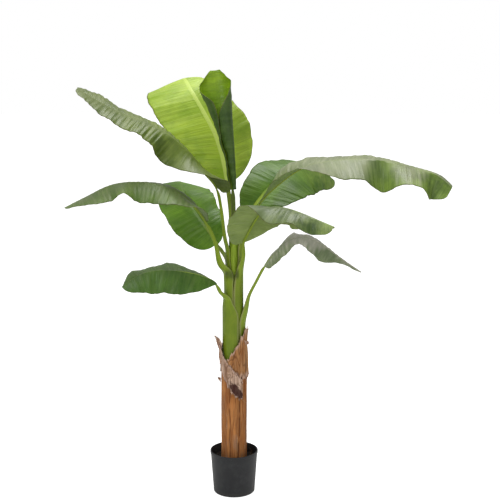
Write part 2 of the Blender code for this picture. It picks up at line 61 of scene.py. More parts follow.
# Trunk
BARK_FOOT = 0.060
BARK_TOP = 0.566
BARK_RADIUS = 0.0525
RIDGE = 0.0020
RIDGES = [(0.45, 3, 4), (0.35, 7, -5), (0.20, 12, 9)]
CORE_LAYERS = 3
STEM_STEP = 0.850
STEM_TOP = 1.130
LAYER = 0.0046
SHEATH_WALL = 0.0034
STEM_PROFILE = [(0.56, 0.0245), (0.85, 0.0235), (1.00, 0.0220), (1.13, 0.0115)]
OUTER_FOOT = BARK_TOP + FIT_GAP
INNER_FOOT = STEM_STEP + FIT_GAP
TOP_FOOT = STEM_TOP + FIT_GAP
HUSK_THICK = 0.0012
HUSK_TEAR = 0.004
HUSK_TEETH = (23, 17)
HUSK_HUG = 0.004
HUG_START = 0.012
HUG_RUN = 0.10
HUSK_LAYER = 0.0024

# Stalks, as lengths from the mouth of the sheath
STALK_THICK = 0.0080
STALK_WIDTH = 0.0090
EDGE_WALL = 0.0010
LEAVE_FROM = -0.07
LEAVE_RUN = 0.09
CURL_FROM = 0.005
CURL_RUN = 0.05
FLATTEN_RUN = 0.03
CHANNEL_BEND = 1.2
SHOULDER = 1.2
SHOULDER_RUN = 0.6
FLAT_BEND = 0.5
RIB_SHARE = 0.8
RIB_TIP_DEPTH = 0.0015

# Blades
BLADE_THICK = 0.0009
STRIP_BASE = 0.005
STRIP_TIP = 0.0015
RIB_CLEAR = 0.0015
BASE_RUN = 0.30
TIP_FROM = 0.50
NARROWEST = 0.03
WAVE_GROWTH = 1.6
PLEAT_RUN = 0.020
PLEAT_HEIGHT = 0.0006
SECOND_PLEAT = (0.6, 1.7)
LEAST_PLEAT = 0.35
PLEAT_RISE = 4
RUFFLES = [(0.110, 0.0022), (0.062, 0.0014), (0.033, 0.0008)]

CHANNEL_SEATS = (-0.75, -0.5, -0.25, 0.0, 0.25, 0.5, 0.75)
CHANNEL_LIP = 0.0012
RIB_BAND = 0.04
NOTCHES = [(0.0270, 0.0004), (0.0530, 0.0010), (0.1070, 0.0020)]
FLUTE = 0.00035
FLUTES = 26.0

# Surfaces finer than the solids
CRUMB_RISE = 0.004
CRUMB_GRAIN = 130
CRUMB_SIZES = (0.0012, 0.0034)
CRUMB_REACH = (0.060, 0.089)
CRUMB_PROUD = 0.4
SEAMS = [(257, 252, 0.0016), (311, 285, 0.0024), (345, 338, 0.0012), (35, 48, 0.0020),
         (95, 84, 0.0022), (150, 160, 0.0016), (205, 200, 0.0018)]
SEAM_WANDER = 8.0
SEAM_FADE = 16.0
SEAM_RISE = 1.6
SEAM_SHADE = 4.0
SEAM_DEEP = 0.0020
SEAM_UNDERCUT = 0.8
SEAM_BENDS = 9
SEAM_BREAKS = (1.2, 2.4, 22)
KNOBS = [(0.0012, 9, 0, 7), (0.0006, 27, 5, 9)]
FIBRE_FOOT = (0.18, 0.46)
FIBRE_LENGTH = (0.03, 0.09)
FIBRE_LEAN = 0.10
FIBRE_LIFTS = (0.0003, 0.0006, 0.004)
FIBRE_RADIUS = (0.0003, 0.0006)
FIBRE_CLEAR = 0.0002
HUSK_RAG = 0.012
HUSK_CREASE = 0.0007
HUSK_FOLD = 0.0030
FOLD_EDGE = 0.12
TEAR_SPACING = 37
CREASE_SPACING = (24, 1.7)
CREASE_LINES = (60, 20)
TOP_THREADS = 0.55
THREAD_LENGTH = (0.003, 0.012)
THREAD_RADIUS = (0.0002, 0.0005)
FLAP_GRID = (26, 18)
FLAP_RAG = 0.45
FLAP_BULGE = 0.010
FLAP_THICK = 0.0006
FLAPS = [
    ((-0.0535, -0.022, 0.600), (-0.0470, -0.034, 0.648), (-0.077, -0.018, 0.668),
     (-0.0600, -0.036, 0.676)),
    ((0.0500, -0.026, 0.640), (0.0440, -0.040, 0.664), (0.064, -0.026, 0.648),
     (0.0600, -0.034, 0.660)),
    ((-0.0545, -0.012, 0.476), (-0.0530, -0.020, 0.500), (-0.067, -0.012, 0.494),
     (-0.0660, -0.018, 0.502)),
]
EDGE_CURL = 0.003
STRAWS = [
    ([(0.066, -0.020, 0.146), (0.072, -0.022, 0.164), (0.070, -0.026, 0.182)], 0.0006),
    ([(0.074, 0.010, 0.145), (0.070, 0.004, 0.163), (0.076, -0.006, 0.178)], 0.0005),
    ([(0.062, 0.030, 0.146), (0.069, 0.028, 0.160), (0.081, 0.024, 0.170)], 0.0005),
    ([(0.060, -0.034, 0.146), (0.068, -0.036, 0.152), (0.080, -0.030, 0.156)], 0.0006),
    ([(0.078, 0.026, 0.146), (0.074, 0.034, 0.160), (0.064, 0.040, 0.172)], 0.0004),
]

# Studio and camera: each light's place, aim, size and power
LIGHTS = {
    "key": ((-2.0, -3.0, 3.8), (0, 0, 0.9), 1.8, 60),
    "fill": ((2.8, -3.4, 1.6), (0, 0, 0.9), 2.4, 16),
    "top": ((0.2, 0.8, 4.2), (0, 0, 1.0), 2.2, 75),
}
FLOOR_SIZE = 30.0
FLOOR_DROP = 0.0005
SENSOR = 36
FLOOR_GLOW = 0.85
SURROUND = 0.42
LENS = 75.6
CAMERA_PLACE = (0.067, -4.2, 1.80)
CAMERA_DIP = 10.35

# How finely and how often
CURVE_STEPS = 60
ROW_STEP = 0.003
HALF_COLUMNS = 18
SHEATH_ROWS = 30
PETIOLE_ROWS = 60
ARC_POINTS = 17
SOLID_ARC_POINTS = 5
SMOOTH_ANGLE = 40
POT_SIDES = 128
FILL_SIDES = 128
FILL_RINGS = 24
BARK_SIDES = 260
BARK_ROWS = 180
HUSK_COLUMNS = 150
HUSK_ROWS = 50
SOLID_HUSK_COLUMNS = 12
HUSK_THREADS = 90
BARK_FIBRES = 46
STRAND_SIDES = 5
STRAND_TAPER = 0.8
STRAND_MERGE = 0.05
MERGE = 1e-6
CRUMBS = 320


def leaf(azimuth, layer, sheath, span, petiole, midrib, left, right, look, **more):
    """One leaf: where its sheath sits on the stem, its line in space, its halves and its look."""
    plan = dict(azimuth=azimuth, layer=layer, sheath=sheath, span=span, petiole=petiole,
                midrib=midrib, left=left, right=right, look=look, roll=(0, 0), base=0.45,
                tip=0.55, shoulder=SHOULDER, stalk="stalk_plain", pleat=1.0)
    plan.update(more)
    return plan


def half(width, lift, curl, **more):
    """One half of a blade: its widest measure, and its slope and bend in degrees along the rib."""
    plan = dict(width=width, lift=lift, curl=curl, wide=(1, 1), sweep=(12, 12), wave=0.0,
                waves=4, tip=None)
    plan.update(more)
    return plan


def paint(red, green, blue):
    """A colour given as it looks on a screen, 0 to 255, as the linear values a shader takes."""
    return tuple((channel / 255) ** 2.2 for channel in (red, green, blue)) + (1.0,)


def look(fresh, deep, sheen, under, under_deep, **more):
    """The colours of a blade: upper face light and dark, the grey of its painted sheen, and its
    underside.
    """
    plan = dict(bloom=0.35, far=fresh, rib=(150, 172, 62), rib_reach=0.12)
    plan.update(more)
    for key in ("far", "rib"):
        plan[key] = paint(*plan[key])
    return dict(plan, fresh=paint(*fresh), deep=paint(*deep), sheen=paint(*sheen),
                under=paint(*under), under_deep=paint(*under_deep))


LOOKS = {
    "low_left": look((82, 122, 38), (56, 92, 24), (144, 146, 114), (110, 138, 60),
                     (82, 112, 42), bloom=0.28, rib_reach=0.30),
    # low_right: its pale grey upper colours are partly its own and partly painted sheen for faces that
    # do not point up; it takes nearly the full painted sheen.
    "low_right": look((140, 158, 110), (100, 120, 74), (212, 206, 194), (150, 166, 116),
                      (118, 138, 84), bloom=0.95, rib_reach=0.05),
    "middle_left": look((98, 130, 46), (68, 100, 30), (156, 154, 128), (112, 134, 64),
                        (80, 108, 42), bloom=0.32, rib_reach=0.18),
    "front": look((88, 110, 50), (62, 86, 34), (150, 150, 128), (152, 172, 94),
                  (122, 144, 66), bloom=0.28, far=(156, 178, 100), rib_reach=0.05),
    "back_left": look((120, 166, 44), (82, 128, 27), (136, 152, 84), (108, 146, 50),
                      (84, 122, 34), bloom=0.20),
    "back_right": look((98, 134, 38), (66, 102, 26), (132, 146, 92), (112, 144, 60),
                       (86, 116, 40), bloom=0.12, far=(138, 158, 76)),
    "long_right": look((98, 122, 46), (70, 96, 32), (174, 172, 150), (122, 148, 62),
                       (94, 122, 42), bloom=0.56, far=(142, 174, 66), rib_reach=0.03),
    "high_left": look((118, 138, 50), (72, 94, 28), (150, 150, 112), (116, 134, 62),
                      (82, 102, 38), bloom=0.28, far=(98, 114, 44), rib_reach=0.04),
    # upright: its bright lime colours are partly its own and partly painted light, standing in for
    # light shining through the leaf.
    "upright": look((168, 196, 52), (132, 166, 36), (190, 206, 110), (166, 184, 84),
                    (138, 162, 58), bloom=0.25, far=(180, 206, 80), rib=(190, 212, 100),
                    rib_reach=0.75),
    "furled": look((156, 190, 42), (118, 154, 26), (160, 184, 84), (82, 108, 48),
                   (54, 80, 34), bloom=0.15, rib=(120, 150, 46), rib_reach=0.0),
}

LEAVES = {
    "01": leaf(  # low, to the left
        230, 4, (OUTER_FOOT, 0.830), 66,
        petiole=[(-0.054, -0.058, 0.874)],
        midrib=[(-0.070, -0.074, 0.910), (-0.130, -0.105, 0.948), (-0.210, -0.130, 0.970),
                (-0.300, -0.150, 0.977), (-0.365, -0.168, 0.964), (-0.433, -0.190, 0.920)],
        left=half(0.098, (-50, -60, -62, -60, -50), (-20, -20, -25, -20), wave=0.003, waves=6,
                  wide=(0.50, 0.95, 1.00, 1.00, 1.00)),
        right=half(0.095, (10, 22, 32, 36, 32, 25, 45, 20), (-40, -40, -40, -40),
                   sweep=(-50, 0, 10, 12, 12), wave=0.003, waves=3, tip=0.8),
        roll=(-13, -13),
        look="low_left", pleat=0.8),
    "02": leaf(  # low, to the right
        340, 4, (OUTER_FOOT, 0.725), 36,
        petiole=[(0.051, -0.018, 0.785), (0.063, -0.022, 0.850), (0.090, -0.027, 0.908)],
        midrib=[(0.127, -0.045, 0.980), (0.171, -0.080, 1.037), (0.217, -0.110, 1.088),
                (0.268, -0.125, 1.106), (0.341, -0.150, 1.086), (0.422, -0.175, 1.030),
                (0.499, -0.200, 0.981)],
        left=half(0.070, (10, 12, 10, 0, -15, -20, -20, -20), (-35, -35, -35, -35),
                  wave=0.004, waves=4, wide=(1.0, 1.0, 1.0, 0.8, 0.3, 0.2)),
        right=half(0.085, (-10, -7, 0, 15, 6, -42, -24, 0), (-20, -20, -20, -20),
                   wave=0.003, waves=3, wide=(1.1, 1.0, 1.0, 1.0, 1.0, 0.62, 0.2, 0.2)),
        shoulder=2.2, roll=(14, 14),
        look="low_right", pleat=1.6),
    "03": leaf(  # middle, far out to the left
        225, 3, (OUTER_FOOT, 0.930), 42,
        petiole=[(-0.054, -0.054, 0.985), (-0.071, -0.074, 1.075)],
        midrib=[(-0.108, -0.098, 1.165), (-0.141, -0.118, 1.217), (-0.182, -0.140, 1.260),
                (-0.258, -0.168, 1.308), (-0.350, -0.200, 1.332), (-0.445, -0.240, 1.330),
                (-0.554, -0.280, 1.284), (-0.628, -0.300, 1.248)],
        left=half(0.108, (10, 8, -8, -25, -35, -38, -32, -10, -20, -12, 0, 0),
                  (-20, -20, -20, -20)),
        right=half(0.100, (40, 38, 32, 15, 5, 0, 0, 0), (-45, -45, -45, -45), wave=0.004,
                   waves=3),
        shoulder=2.3, roll=(-16, -16),
        look="middle_left", pleat=1.2),
    "04": leaf(  # front, to the right
        317, 3, (OUTER_FOOT, 0.930), 48,
        petiole=[(0.040, -0.064, 1.020)],
        midrib=[(0.041, -0.090, 1.078), (0.062, -0.115, 1.126), (0.083, -0.145, 1.170),
                (0.113, -0.190, 1.218), (0.151, -0.240, 1.243), (0.206, -0.300, 1.245),
                (0.271, -0.350, 1.229), (0.324, -0.390, 1.211), (0.371, -0.420, 1.195)],
        left=half(0.105, (-35, -40, -50, -55, -45, -25, -20), (-20, -20, -30, -30), wave=0.004,
                  waves=3, wide=(0.65, 0.95, 0.96, 1.00, 1.00), sweep=(30, 15, 12)),
        right=half(0.115, (10, 14, 25, 25, -12, 0, -45, -40), (-10, -20, -30, -30),
                   sweep=(-15, 0, 10, 25, 30), wide=(1.0, 1.0, 0.9, 0.8, 0.8)),
        shoulder=1.6, roll=(-6, -6),
        look="front", pleat=1.4),
    "05": leaf(  # back, to the left
        135, 2, (INNER_FOOT, 0.975), 40,
        petiole=[(-0.050, 0.055, 1.020)],
        midrib=[(-0.068, 0.070, 1.045), (-0.111, 0.100, 1.102), (-0.155, 0.150, 1.155),
                (-0.196, 0.210, 1.208), (-0.221, 0.280, 1.250), (-0.234, 0.360, 1.268),
                (-0.238, 0.440, 1.258)],
        left=half(0.119, (-24, -26, -28, -20, -20), (-10, -15, -20, -20), wave=0.004,
                  waves=3, sweep=(-15, 5, 12)),
        right=half(0.125, (30, 35, 35, 20, 0), (-15, -20, -30, -20), wave=0.004, waves=3,
                   wide=(0.60, 0.85, 1.00, 1.00)),
        look="back_left", pleat=0.7),
    "06": leaf(  # back, to the right
        52, 2, (INNER_FOOT, 0.990), 38,
        petiole=[(0.042, 0.060, 1.100)],
        midrib=[(0.067, 0.085, 1.172), (0.113, 0.120, 1.234), (0.159, 0.155, 1.284),
                (0.215, 0.200, 1.327), (0.284, 0.260, 1.352), (0.360, 0.310, 1.338),
                (0.432, 0.345, 1.278)],
        left=half(0.095, (60, 50, 26, 12, 5, 0), (-10, -15, -20, -20), wave=0.003,
                  waves=3, sweep=(-35, 0, 12), wide=(0.90, 1.05, 1.20, 0.50, 0.40)),
        right=half(0.148, (-8, -16, -28, -38, -42), (-10, -15, -20, -20), wave=0.004,
                   waves=3, sweep=(20, 16, 4, 6, 45), tip=0.62),
        look="back_right", pleat=0.7),
    "07": leaf(  # long, out to the right
        358, 1, (INNER_FOOT, 1.020), 56,
        petiole=[(0.058, 0.002, 1.136)],
        midrib=[(0.103, 0.000, 1.222), (0.187, -0.010, 1.308), (0.282, -0.025, 1.373),
                (0.384, -0.040, 1.398), (0.490, -0.055, 1.408), (0.595, -0.070, 1.402),
                (0.703, -0.085, 1.376), (0.805, -0.095, 1.345), (0.860, -0.100, 1.300)],
        left=half(0.115, (0, 32, 16, 8, 6, 2, 0, 20), (-35, -35, -35, -35),
                  wave=0.003, waves=4, tip=0.40),
        right=half(0.130, (15, 26, 25, 14, -4, -18, -20, -56, -20, -14, -62, -45),
                   (-12, -12, -12, -12), tip=0.25),
        roll=(5, 5),
        look="long_right"),
    "08": leaf(  # high, to the left
        193, 1, (INNER_FOOT, 1.020), 56,
        petiole=[(-0.034, -0.034, 1.090), (-0.047, -0.045, 1.215)],
        midrib=[(-0.064, -0.055, 1.293), (-0.118, -0.075, 1.363), (-0.183, -0.090, 1.447),
                (-0.252, -0.105, 1.508), (-0.324, -0.115, 1.550), (-0.426, -0.125, 1.590),
                (-0.515, -0.140, 1.637), (-0.593, -0.150, 1.686)],
        left=half(0.108, (75, 56, 18, -34, -60, -22, -12, -10, -8, -5, 0, 0),
                  (-20, -20, -20, -20), tip=0.40, wide=(1.3, 0.95, 1.0, 1.0, 1.0),
                  sweep=(-60, 5, 12, 12)),
        right=half(0.100, (50, 16, 4, 10, 12, 16, 25, 15), (-30, -30, -30, -30),
                   sweep=(-70, -20, 10, 12, 12), tip=0.40,
                   wide=(1.6, 1.2, 1.0, 1.0, 1.0)),
        roll=(-6, -6),
        look="high_left", pleat=2.4),
    "09": leaf(  # upright and broad, behind the furled one
        102, 0, (INNER_FOOT, 1.060), 60,
        petiole=[(-0.015, 0.066, 1.208)],
        midrib=[(-0.027, 0.090, 1.296), (-0.044, 0.110, 1.389), (-0.073, 0.135, 1.485),
                (-0.119, 0.170, 1.572), (-0.176, 0.230, 1.665), (-0.210, 0.320, 1.712),
                (-0.235, 0.420, 1.700), (-0.250, 0.500, 1.650)],
        left=half(0.175, (-5, -5, -3, -2, -5, -20), (-10, -10, -10, -20), wave=0.004, waves=4,
                  wide=(0.85, 0.95, 1.05, 1.05, 1.0)),
        right=half(0.150, (10, 5, 0, -10), (-10, -10, -20, -20), wave=0.004, waves=4,
                   wide=(1.0, 1.0, 0.74, 0.55, 0.5)),
        look="upright", stalk="stalk_lime", pleat=0.8),
    "10": leaf(  # young and furled, at the top
        90, -1, (TOP_FOOT, 1.150), 74,
        petiole=[(0.000, 0.008, 1.210)],
        midrib=[(-0.003, 0.012, 1.278), (-0.013, 0.024, 1.397), (-0.034, 0.040, 1.516),
                (-0.056, 0.058, 1.635), (-0.070, 0.068, 1.714), (-0.074, 0.072, 1.752)],
        left=half(0.130, (0, 0), (150, 150, 142, 140, 162, 150, 78, 30),
                  wide=(0.16, 0.22, 0.305, 0.47, 0.74, 1.05, 0.68, 0.11), sweep=(5, 5)),
        right=half(0.160, (0, 0), (280, 275, 262, 246, 213, 150, 85, 30),
                   wide=(0.245, 0.33, 0.456, 0.67, 0.79, 0.74, 0.50, 0.09), sweep=(5, 5)),
        base=0.0, tip=0.0, shoulder=0.0,
        look="furled", stalk="stalk_dark", pleat=0.3),
}

HUSKS = {
    "husk_left": dict(angles=(168, 308), layer=1,
                      low=(0.610, 0.560, 0.490, 0.435, 0.415),
                      high=(0.668, 0.655, 0.584, 0.540, 0.490),
                      flare=(0.022, 0.010, 0.0, 0.0, 0.001)),
    "husk_right": dict(angles=(244, 420), layer=0,
                       low=(0.530, 0.510, 0.500, 0.510, 0.520),
                       high=(0.584, 0.650, 0.712, 0.690, 0.630),
                       flare=(0.0, 0.0, 0.003, 0.004, 0.002)),
    "husk_back": dict(angles=(64, 164), layer=0, low=(0.510, 0.500, 0.520),
                      high=(0.625, 0.650, 0.610), flare=(0.002, 0.008, 0.002)),
}


def unit(rows):
    """Each row scaled to length one."""
    return rows / np.linalg.norm(rows, axis=-1, keepdims=True)


def ease(value):
    """0 to 1 with a soft start and end, held outside that range."""
    t = np.clip(value, 0, 1)
    return t * t * (3 - 2 * t)


def spread(values, share):
    """Values set evenly over 0 to 1 and joined smoothly, read at each share."""
    knots = np.array(values, float)
    knots = np.concatenate([[2 * knots[0] - knots[1]], knots, [2 * knots[-1] - knots[-2]]])
    place = np.clip(share, 0, 1) * (len(values) - 1)
    first = np.minimum(place.astype(int), len(values) - 2)
    t = place - first
    a, b, c, d = (knots[first + k] for k in range(4))
    return 0.5 * (2 * b + (c - a) * t + (2 * a - 5 * b + 4 * c - d) * t ** 2
                  + (3 * b - a - 3 * c + d) * t ** 3)


def smooth_line(points, start):
    """A smooth line through the points that sets out along start, and the length at each point."""
    points = np.array(points, float)
    chord = np.linalg.norm(np.diff(points, axis=0), axis=1)
    slope = np.diff(points, axis=0) / chord[:, None]
    inner = (slope[:-1] * chord[1:, None] + slope[1:] * chord[:-1, None])
    inner /= (chord[1:] + chord[:-1])[:, None]
    tangent = np.vstack([start, inner, slope[-1]])
    t = np.linspace(0, 1, CURVE_STEPS, endpoint=False)[:, None]
    line = []
    for k, run in enumerate(chord):
        line.append((2 * t ** 3 - 3 * t ** 2 + 1) * points[k]
                    + (t ** 3 - 2 * t ** 2 + t) * run * tangent[k]
                    + (3 * t ** 2 - 2 * t ** 3) * points[k + 1]
                    + (t ** 3 - t ** 2) * run * tangent[k + 1])
    line = np.vstack(line + [points[-1:]])
    along = np.concatenate([[0], np.cumsum(np.linalg.norm(np.diff(line, axis=0), axis=1))])
    return line, along, along[::CURVE_STEPS]


def sample_line(values, along, places):
    """Values known along a line, read at other places on it."""
    return np.stack([np.interp(places, along, values[:, k]) for k in range(values.shape[1])], 1)


def carried_normals(line, first):
    """Tangents of a line, and a normal carried along it without twist."""
    tangents = unit(np.gradient(line, axis=0))
    normals = []
    normal = np.array(first, float)
    for tangent in tangents:
        normal = normal - tangent * (normal @ tangent)
        normal /= np.linalg.norm(normal)
        normals.append(normal)
    return tangents, np.array(normals)


def stem_axis(z):
    """The middle of the stem at a height."""
    z = np.asarray(z, float)
    return np.stack([0 * z, 0 * z, z], -1)


def layer_radius(layer, z):
    """Inner radius of the sheaths in one layer round the stem."""
    heights, radii = zip(*STEM_PROFILE)
    return np.interp(z, heights, radii) + layer * LAYER + FIT_GAP


def sheath_radius(plan, z):
    """Inner radius of a leaf's sheath, the same as its solid's, whose facets clear each other."""
    facet = math.radians(plan["span"]) / (SOLID_ARC_POINTS - 1)
    return layer_radius(plan["layer"], z) / math.cos(facet)


def leaf_stations(plan):
    """The leaf's line from the foot of its sheath to its tip, read where its sections stand."""
    angle = math.radians(plan["azimuth"])
    away = np.array([math.cos(angle), math.sin(angle), 0.0])
    low, mouth = plan["sheath"]
    heights = np.linspace(low, mouth, CURVE_STEPS)
    sheath = stem_axis(heights) + away * sheath_radius(plan, heights)[:, None]
    rise = unit(sheath[-1] - sheath[-2])
    points = [sheath[-1]] + plan["petiole"] + plan["midrib"]
    free, along, marks = smooth_line(points, rise)
    line = np.vstack([sheath[:-1], free])
    reach = np.concatenate([heights[:-1] - mouth, along])
    tangents, normals = carried_normals(line, -away)
    base = marks[1 + len(plan["petiole"])]
    length = along[-1]
    blade_rows = int((length - base) / ROW_STEP)
    places = np.concatenate([
        np.linspace(low - mouth, 0, SHEATH_ROWS, endpoint=False),
        np.linspace(0, base, PETIOLE_ROWS, endpoint=False),
        np.linspace(base, length, blade_rows)])
    share = np.clip((places - base) / (length - base), 0, 1)
    turn = np.radians(spread(plan["roll"], share)) * ease(places / base)
    place = sample_line(line, reach, places)
    along_leaf = unit(sample_line(tangents, reach, places))
    normal = sample_line(normals, reach, places)
    normal = unit(normal - along_leaf * (normal * along_leaf).sum(1, keepdims=True))
    across = np.cross(along_leaf, normal)
    up = normal * np.cos(turn)[:, None] + across * np.sin(turn)[:, None]
    across = across * np.cos(turn)[:, None] - normal * np.sin(turn)[:, None]
    stage = np.interp(places, [low - mouth, 0, base, length], [0, 1, 2, 3])
    return dict(place=place, along=along_leaf, up=up, across=across, reach=places, base=base,
                share=share, length=length - base, rows=blade_rows, stage=stage)


def stalk_rings(plan, row):
    """Closed sections of a stalk: a crescent on the stem, then a channel, then a half round rib."""
    reach, base = row["reach"], row["base"]
    radius = sheath_radius(plan, row["place"][:, 2])
    leave = ease((reach - LEAVE_FROM) / LEAVE_RUN)
    curl_in = ease((reach - CURL_FROM) / CURL_RUN)
    flatten = ease((reach - base + FLATTEN_RUN) / FLATTEN_RUN)
    taper = 1 - row["share"]
    shoulder = 1 + plan["shoulder"] * (1 - ease(reach / (SHOULDER_RUN * base)))
    sheath_arc = radius * math.radians(plan["span"])
    half_arc = sheath_arc * (1 - leave) + STALK_WIDTH * shoulder * leave
    half_arc = half_arc * (1 - flatten) + strip_half(row) * flatten
    bend = (1 - curl_in) / radius + curl_in / (CHANNEL_BEND * STALK_WIDTH * shoulder)
    bend = bend * (1 - flatten) + flatten * FLAT_BEND
    wall = SHEATH_WALL * (1 - leave) + STALK_THICK * leave
    rib = RIB_TIP_DEPTH + (STALK_THICK * RIB_SHARE - RIB_TIP_DEPTH) * taper
    wall = wall * (1 - flatten) + rib * flatten
    seat = np.linspace(-1, 1, ARC_POINTS)
    rings = []
    for k in range(len(reach)):
        angles = seat * half_arc[k] * bend[k]
        thick = EDGE_WALL + (wall[k] - EDGE_WALL) * (1 - seat ** 2)
        flute = FLUTE * np.sin(seat * FLUTES + 3 * seat ** 2 + 5 * reach[k]) * (1 - seat ** 2)
        inner = arc_points(row, k, 1 / bend[k], angles, 0 * thick)
        outer = arc_points(row, k, 1 / bend[k], angles, thick + flute)
        rings.append(np.vstack([inner, outer[::-1]]))
    return np.array(rings)


def arc_points(row, k, radius, angles, thick):
    """Points on an arc bowed away from the upper side, thick below it."""
    hub = row["place"][k] + row["up"][k] * radius
    spoke = row["across"][k] * np.sin(angles)[:, None] - row["up"][k] * np.cos(angles)[:, None]
    return hub + spoke * (radius + thick)[:, None]


def strip_half(row):
    """Half width of the flat strip where the blade lies on its rib."""
    return STRIP_TIP + (STRIP_BASE - STRIP_TIP) * (1 - row["share"])


def blade_outline(share, base, tip):
    """Share of the full half width along a blade: round at the base, drawn in to the tip."""
    rise = (1 - (1 - np.clip(share / BASE_RUN, 0, 1)) ** 2) ** base
    fall = (1 - (np.clip(share - TIP_FROM, 0, 1) / (1 - TIP_FROM)) ** 2) ** tip
    return np.clip(rise * fall, NARROWEST, 1)


def blade_half(plan, row, side, chance):
    """One half of a blade's upper face as columns from the strip to the edge, and their shares."""
    rows = slice(len(row["reach"]) - row["rows"], None)
    share = row["share"][rows]
    metres = share * row["length"]
    place, along, up, across = (row[key][rows] for key in ("place", "along", "up", "across"))
    half_plan = plan["left" if side < 0 else "right"]
    tip = plan["tip"] if half_plan["tip"] is None else half_plan["tip"]
    shape = blade_outline(share, plan["base"], tip)
    width = half_plan["width"] * shape * spread(half_plan["wide"], share)
    starts = [chance.uniform(0, 2 * math.pi) for _ in range(9)]
    for (run, height), start in zip(NOTCHES, starts):
        width = width + height * shape * np.sin(2 * math.pi * metres / run + start)
    lift = np.radians(spread(half_plan["lift"], share))
    curl = np.radians(spread(half_plan["curl"], share))
    sweep = np.radians(spread(half_plan["sweep"], share))
    strip = strip_half(row)[rows] + RIB_CLEAR
    point = place + up * (FIT_GAP + BLADE_THICK) + side * across * strip[:, None]
    columns = [point]
    second_height, second_run = SECOND_PLEAT
    for step in range(HALF_COLUMNS):
        tilt = lift + curl * (step + 0.5) / HALF_COLUMNS
        out = side * across * np.cos(tilt)[:, None] + up * np.sin(tilt)[:, None]
        out = out * np.cos(sweep)[:, None] + along * np.sin(sweep)[:, None]
        point = point + out * (width / HALF_COLUMNS)[:, None]
        rise = (step + 1) / HALF_COLUMNS
        face = up * np.cos(tilt)[:, None] - side * across * np.sin(tilt)[:, None]
        swing = half_plan["wave"] * np.sin(2 * math.pi * half_plan["waves"] * share)
        for (run, height), start in zip(RUFFLES, starts[3:]):
            swing = swing + height * np.sin(2 * math.pi * metres / run + start)
        pleat = np.sin(2 * math.pi * metres / PLEAT_RUN + starts[6])
        pleat += second_height * np.sin(2 * math.pi * metres / (PLEAT_RUN * second_run)
                                        + starts[7] + 2 * rise)
        pleat *= PLEAT_HEIGHT * plan["pleat"] * ease(rise * PLEAT_RISE)
        pleat *= LEAST_PLEAT + (1 - LEAST_PLEAT) * np.sin(5 * share + 2 * rise + starts[8]) ** 2
        wave = swing * shape * rise ** WAVE_GROWTH + pleat * shape
        columns.append(point + face * wave[:, None])
    return columns


def blade_grid(plan, row, chance):
    """Points of a blade's upper face, [column, row], with a shallow channel over its rib."""
    rows = slice(len(row["reach"]) - row["rows"], None)
    place, up, across = (row[key][rows] for key in ("place", "up", "across"))
    left = blade_half(plan, row, -1, chance)
    right = blade_half(plan, row, 1, chance)
    strip = strip_half(row)[rows] + RIB_CLEAR
    channel = []
    for seat in CHANNEL_SEATS:
        rise = CHANNEL_LIP * (1 - row["share"][rows]) * math.sin(math.pi * abs(seat)) ** 2
        channel.append(place + up * (FIT_GAP + BLADE_THICK + rise)[:, None]
                       + across * (seat * strip)[:, None])
    inner = RIB_BAND * np.array(CHANNEL_SEATS)
    outer = RIB_BAND + (1 - RIB_BAND) * np.arange(1, HALF_COLUMNS + 1) / HALF_COLUMNS
    shares = np.concatenate([-outer[::-1], [-RIB_BAND], inner, [RIB_BAND], outer])
    return np.array(left[::-1] + channel + right), 0.5 + 0.5 * shares


def place_object(name, bm, finishes):
    """Link a finished mesh as one named object with its materials."""
    mesh = bpy.data.meshes.new(name)
    bm.to_mesh(mesh)
    bm.free()
    made = bpy.data.objects.new(name, mesh)
    bpy.context.collection.objects.link(made)
    for finish in finishes:
        mesh.materials.append(finish)
    mesh.shade_smooth()
    mesh.set_sharp_from_angle(angle=math.radians(SMOOTH_ANGLE))
    return made


def settle(made, slot, *nodes):
    """Let a finished piece ride on the plant and stand for its solids; its slot is not used."""
    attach(made, "root")
    if nodes:
        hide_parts(*nodes)
    return made


def shaped_grid(points, across, along, extra=None):
    """A grid whose vertices stand on the points, [column, row], with a map over its face."""
    columns, rows = points.shape[:2]
    bm = bmesh.new()
    bmesh.ops.create_grid(bm, x_segments=columns - 1, y_segments=rows - 1, size=1.0)
    layer = bm.verts.layers.float.new("inner")
    table = np.broadcast_to(0.0 if extra is None else extra, (columns, rows))
    seats = {}
    for vert in bm.verts:
        column = round((vert.co.x + 1) / 2 * (columns - 1))
        row = round((vert.co.y + 1) / 2 * (rows - 1))
        seats[vert.index] = (across[column], along[row])
        vert[layer] = float(table[column, row])
        vert.co = points[column, row]
    bm.verts.index_update()
    face_map = bm.loops.layers.uv.new("face_map")
    for face in bm.faces:
        for loop in face.loops:
            loop[face_map].uv = seats[loop.vert.index]
    return bm


def closed_tube(rings, along, extra):
    """A closed skin through rings of points, [row, point], with both ends filled."""
    rings = np.concatenate([rings, rings[:, :1]], axis=1)
    extra = np.append(extra, extra[0])[:, None]
    bm = shaped_grid(rings.transpose(1, 0, 2), np.linspace(0, 1, rings.shape[1]), along, extra)
    bmesh.ops.remove_doubles(bm, verts=bm.verts, dist=MERGE)
    ends = [edge for edge in bm.edges if edge.is_boundary]
    bmesh.ops.holes_fill(bm, edges=ends, sides=0)
    bmesh.ops.recalc_face_normals(bm, faces=bm.faces)
    return bm


def thin_sheet(name, points, across, along, thickness, finishes, extra=None):
    """A sheet whose upper face is the grid and whose other face takes the second finish."""
    made = place_object(name, shaped_grid(points, across, along, extra), finishes)
    solid = made.modifiers.new("thickness", "SOLIDIFY")
    solid.thickness = thickness
    solid.offset = -1
    solid.material_offset = 1
    return made


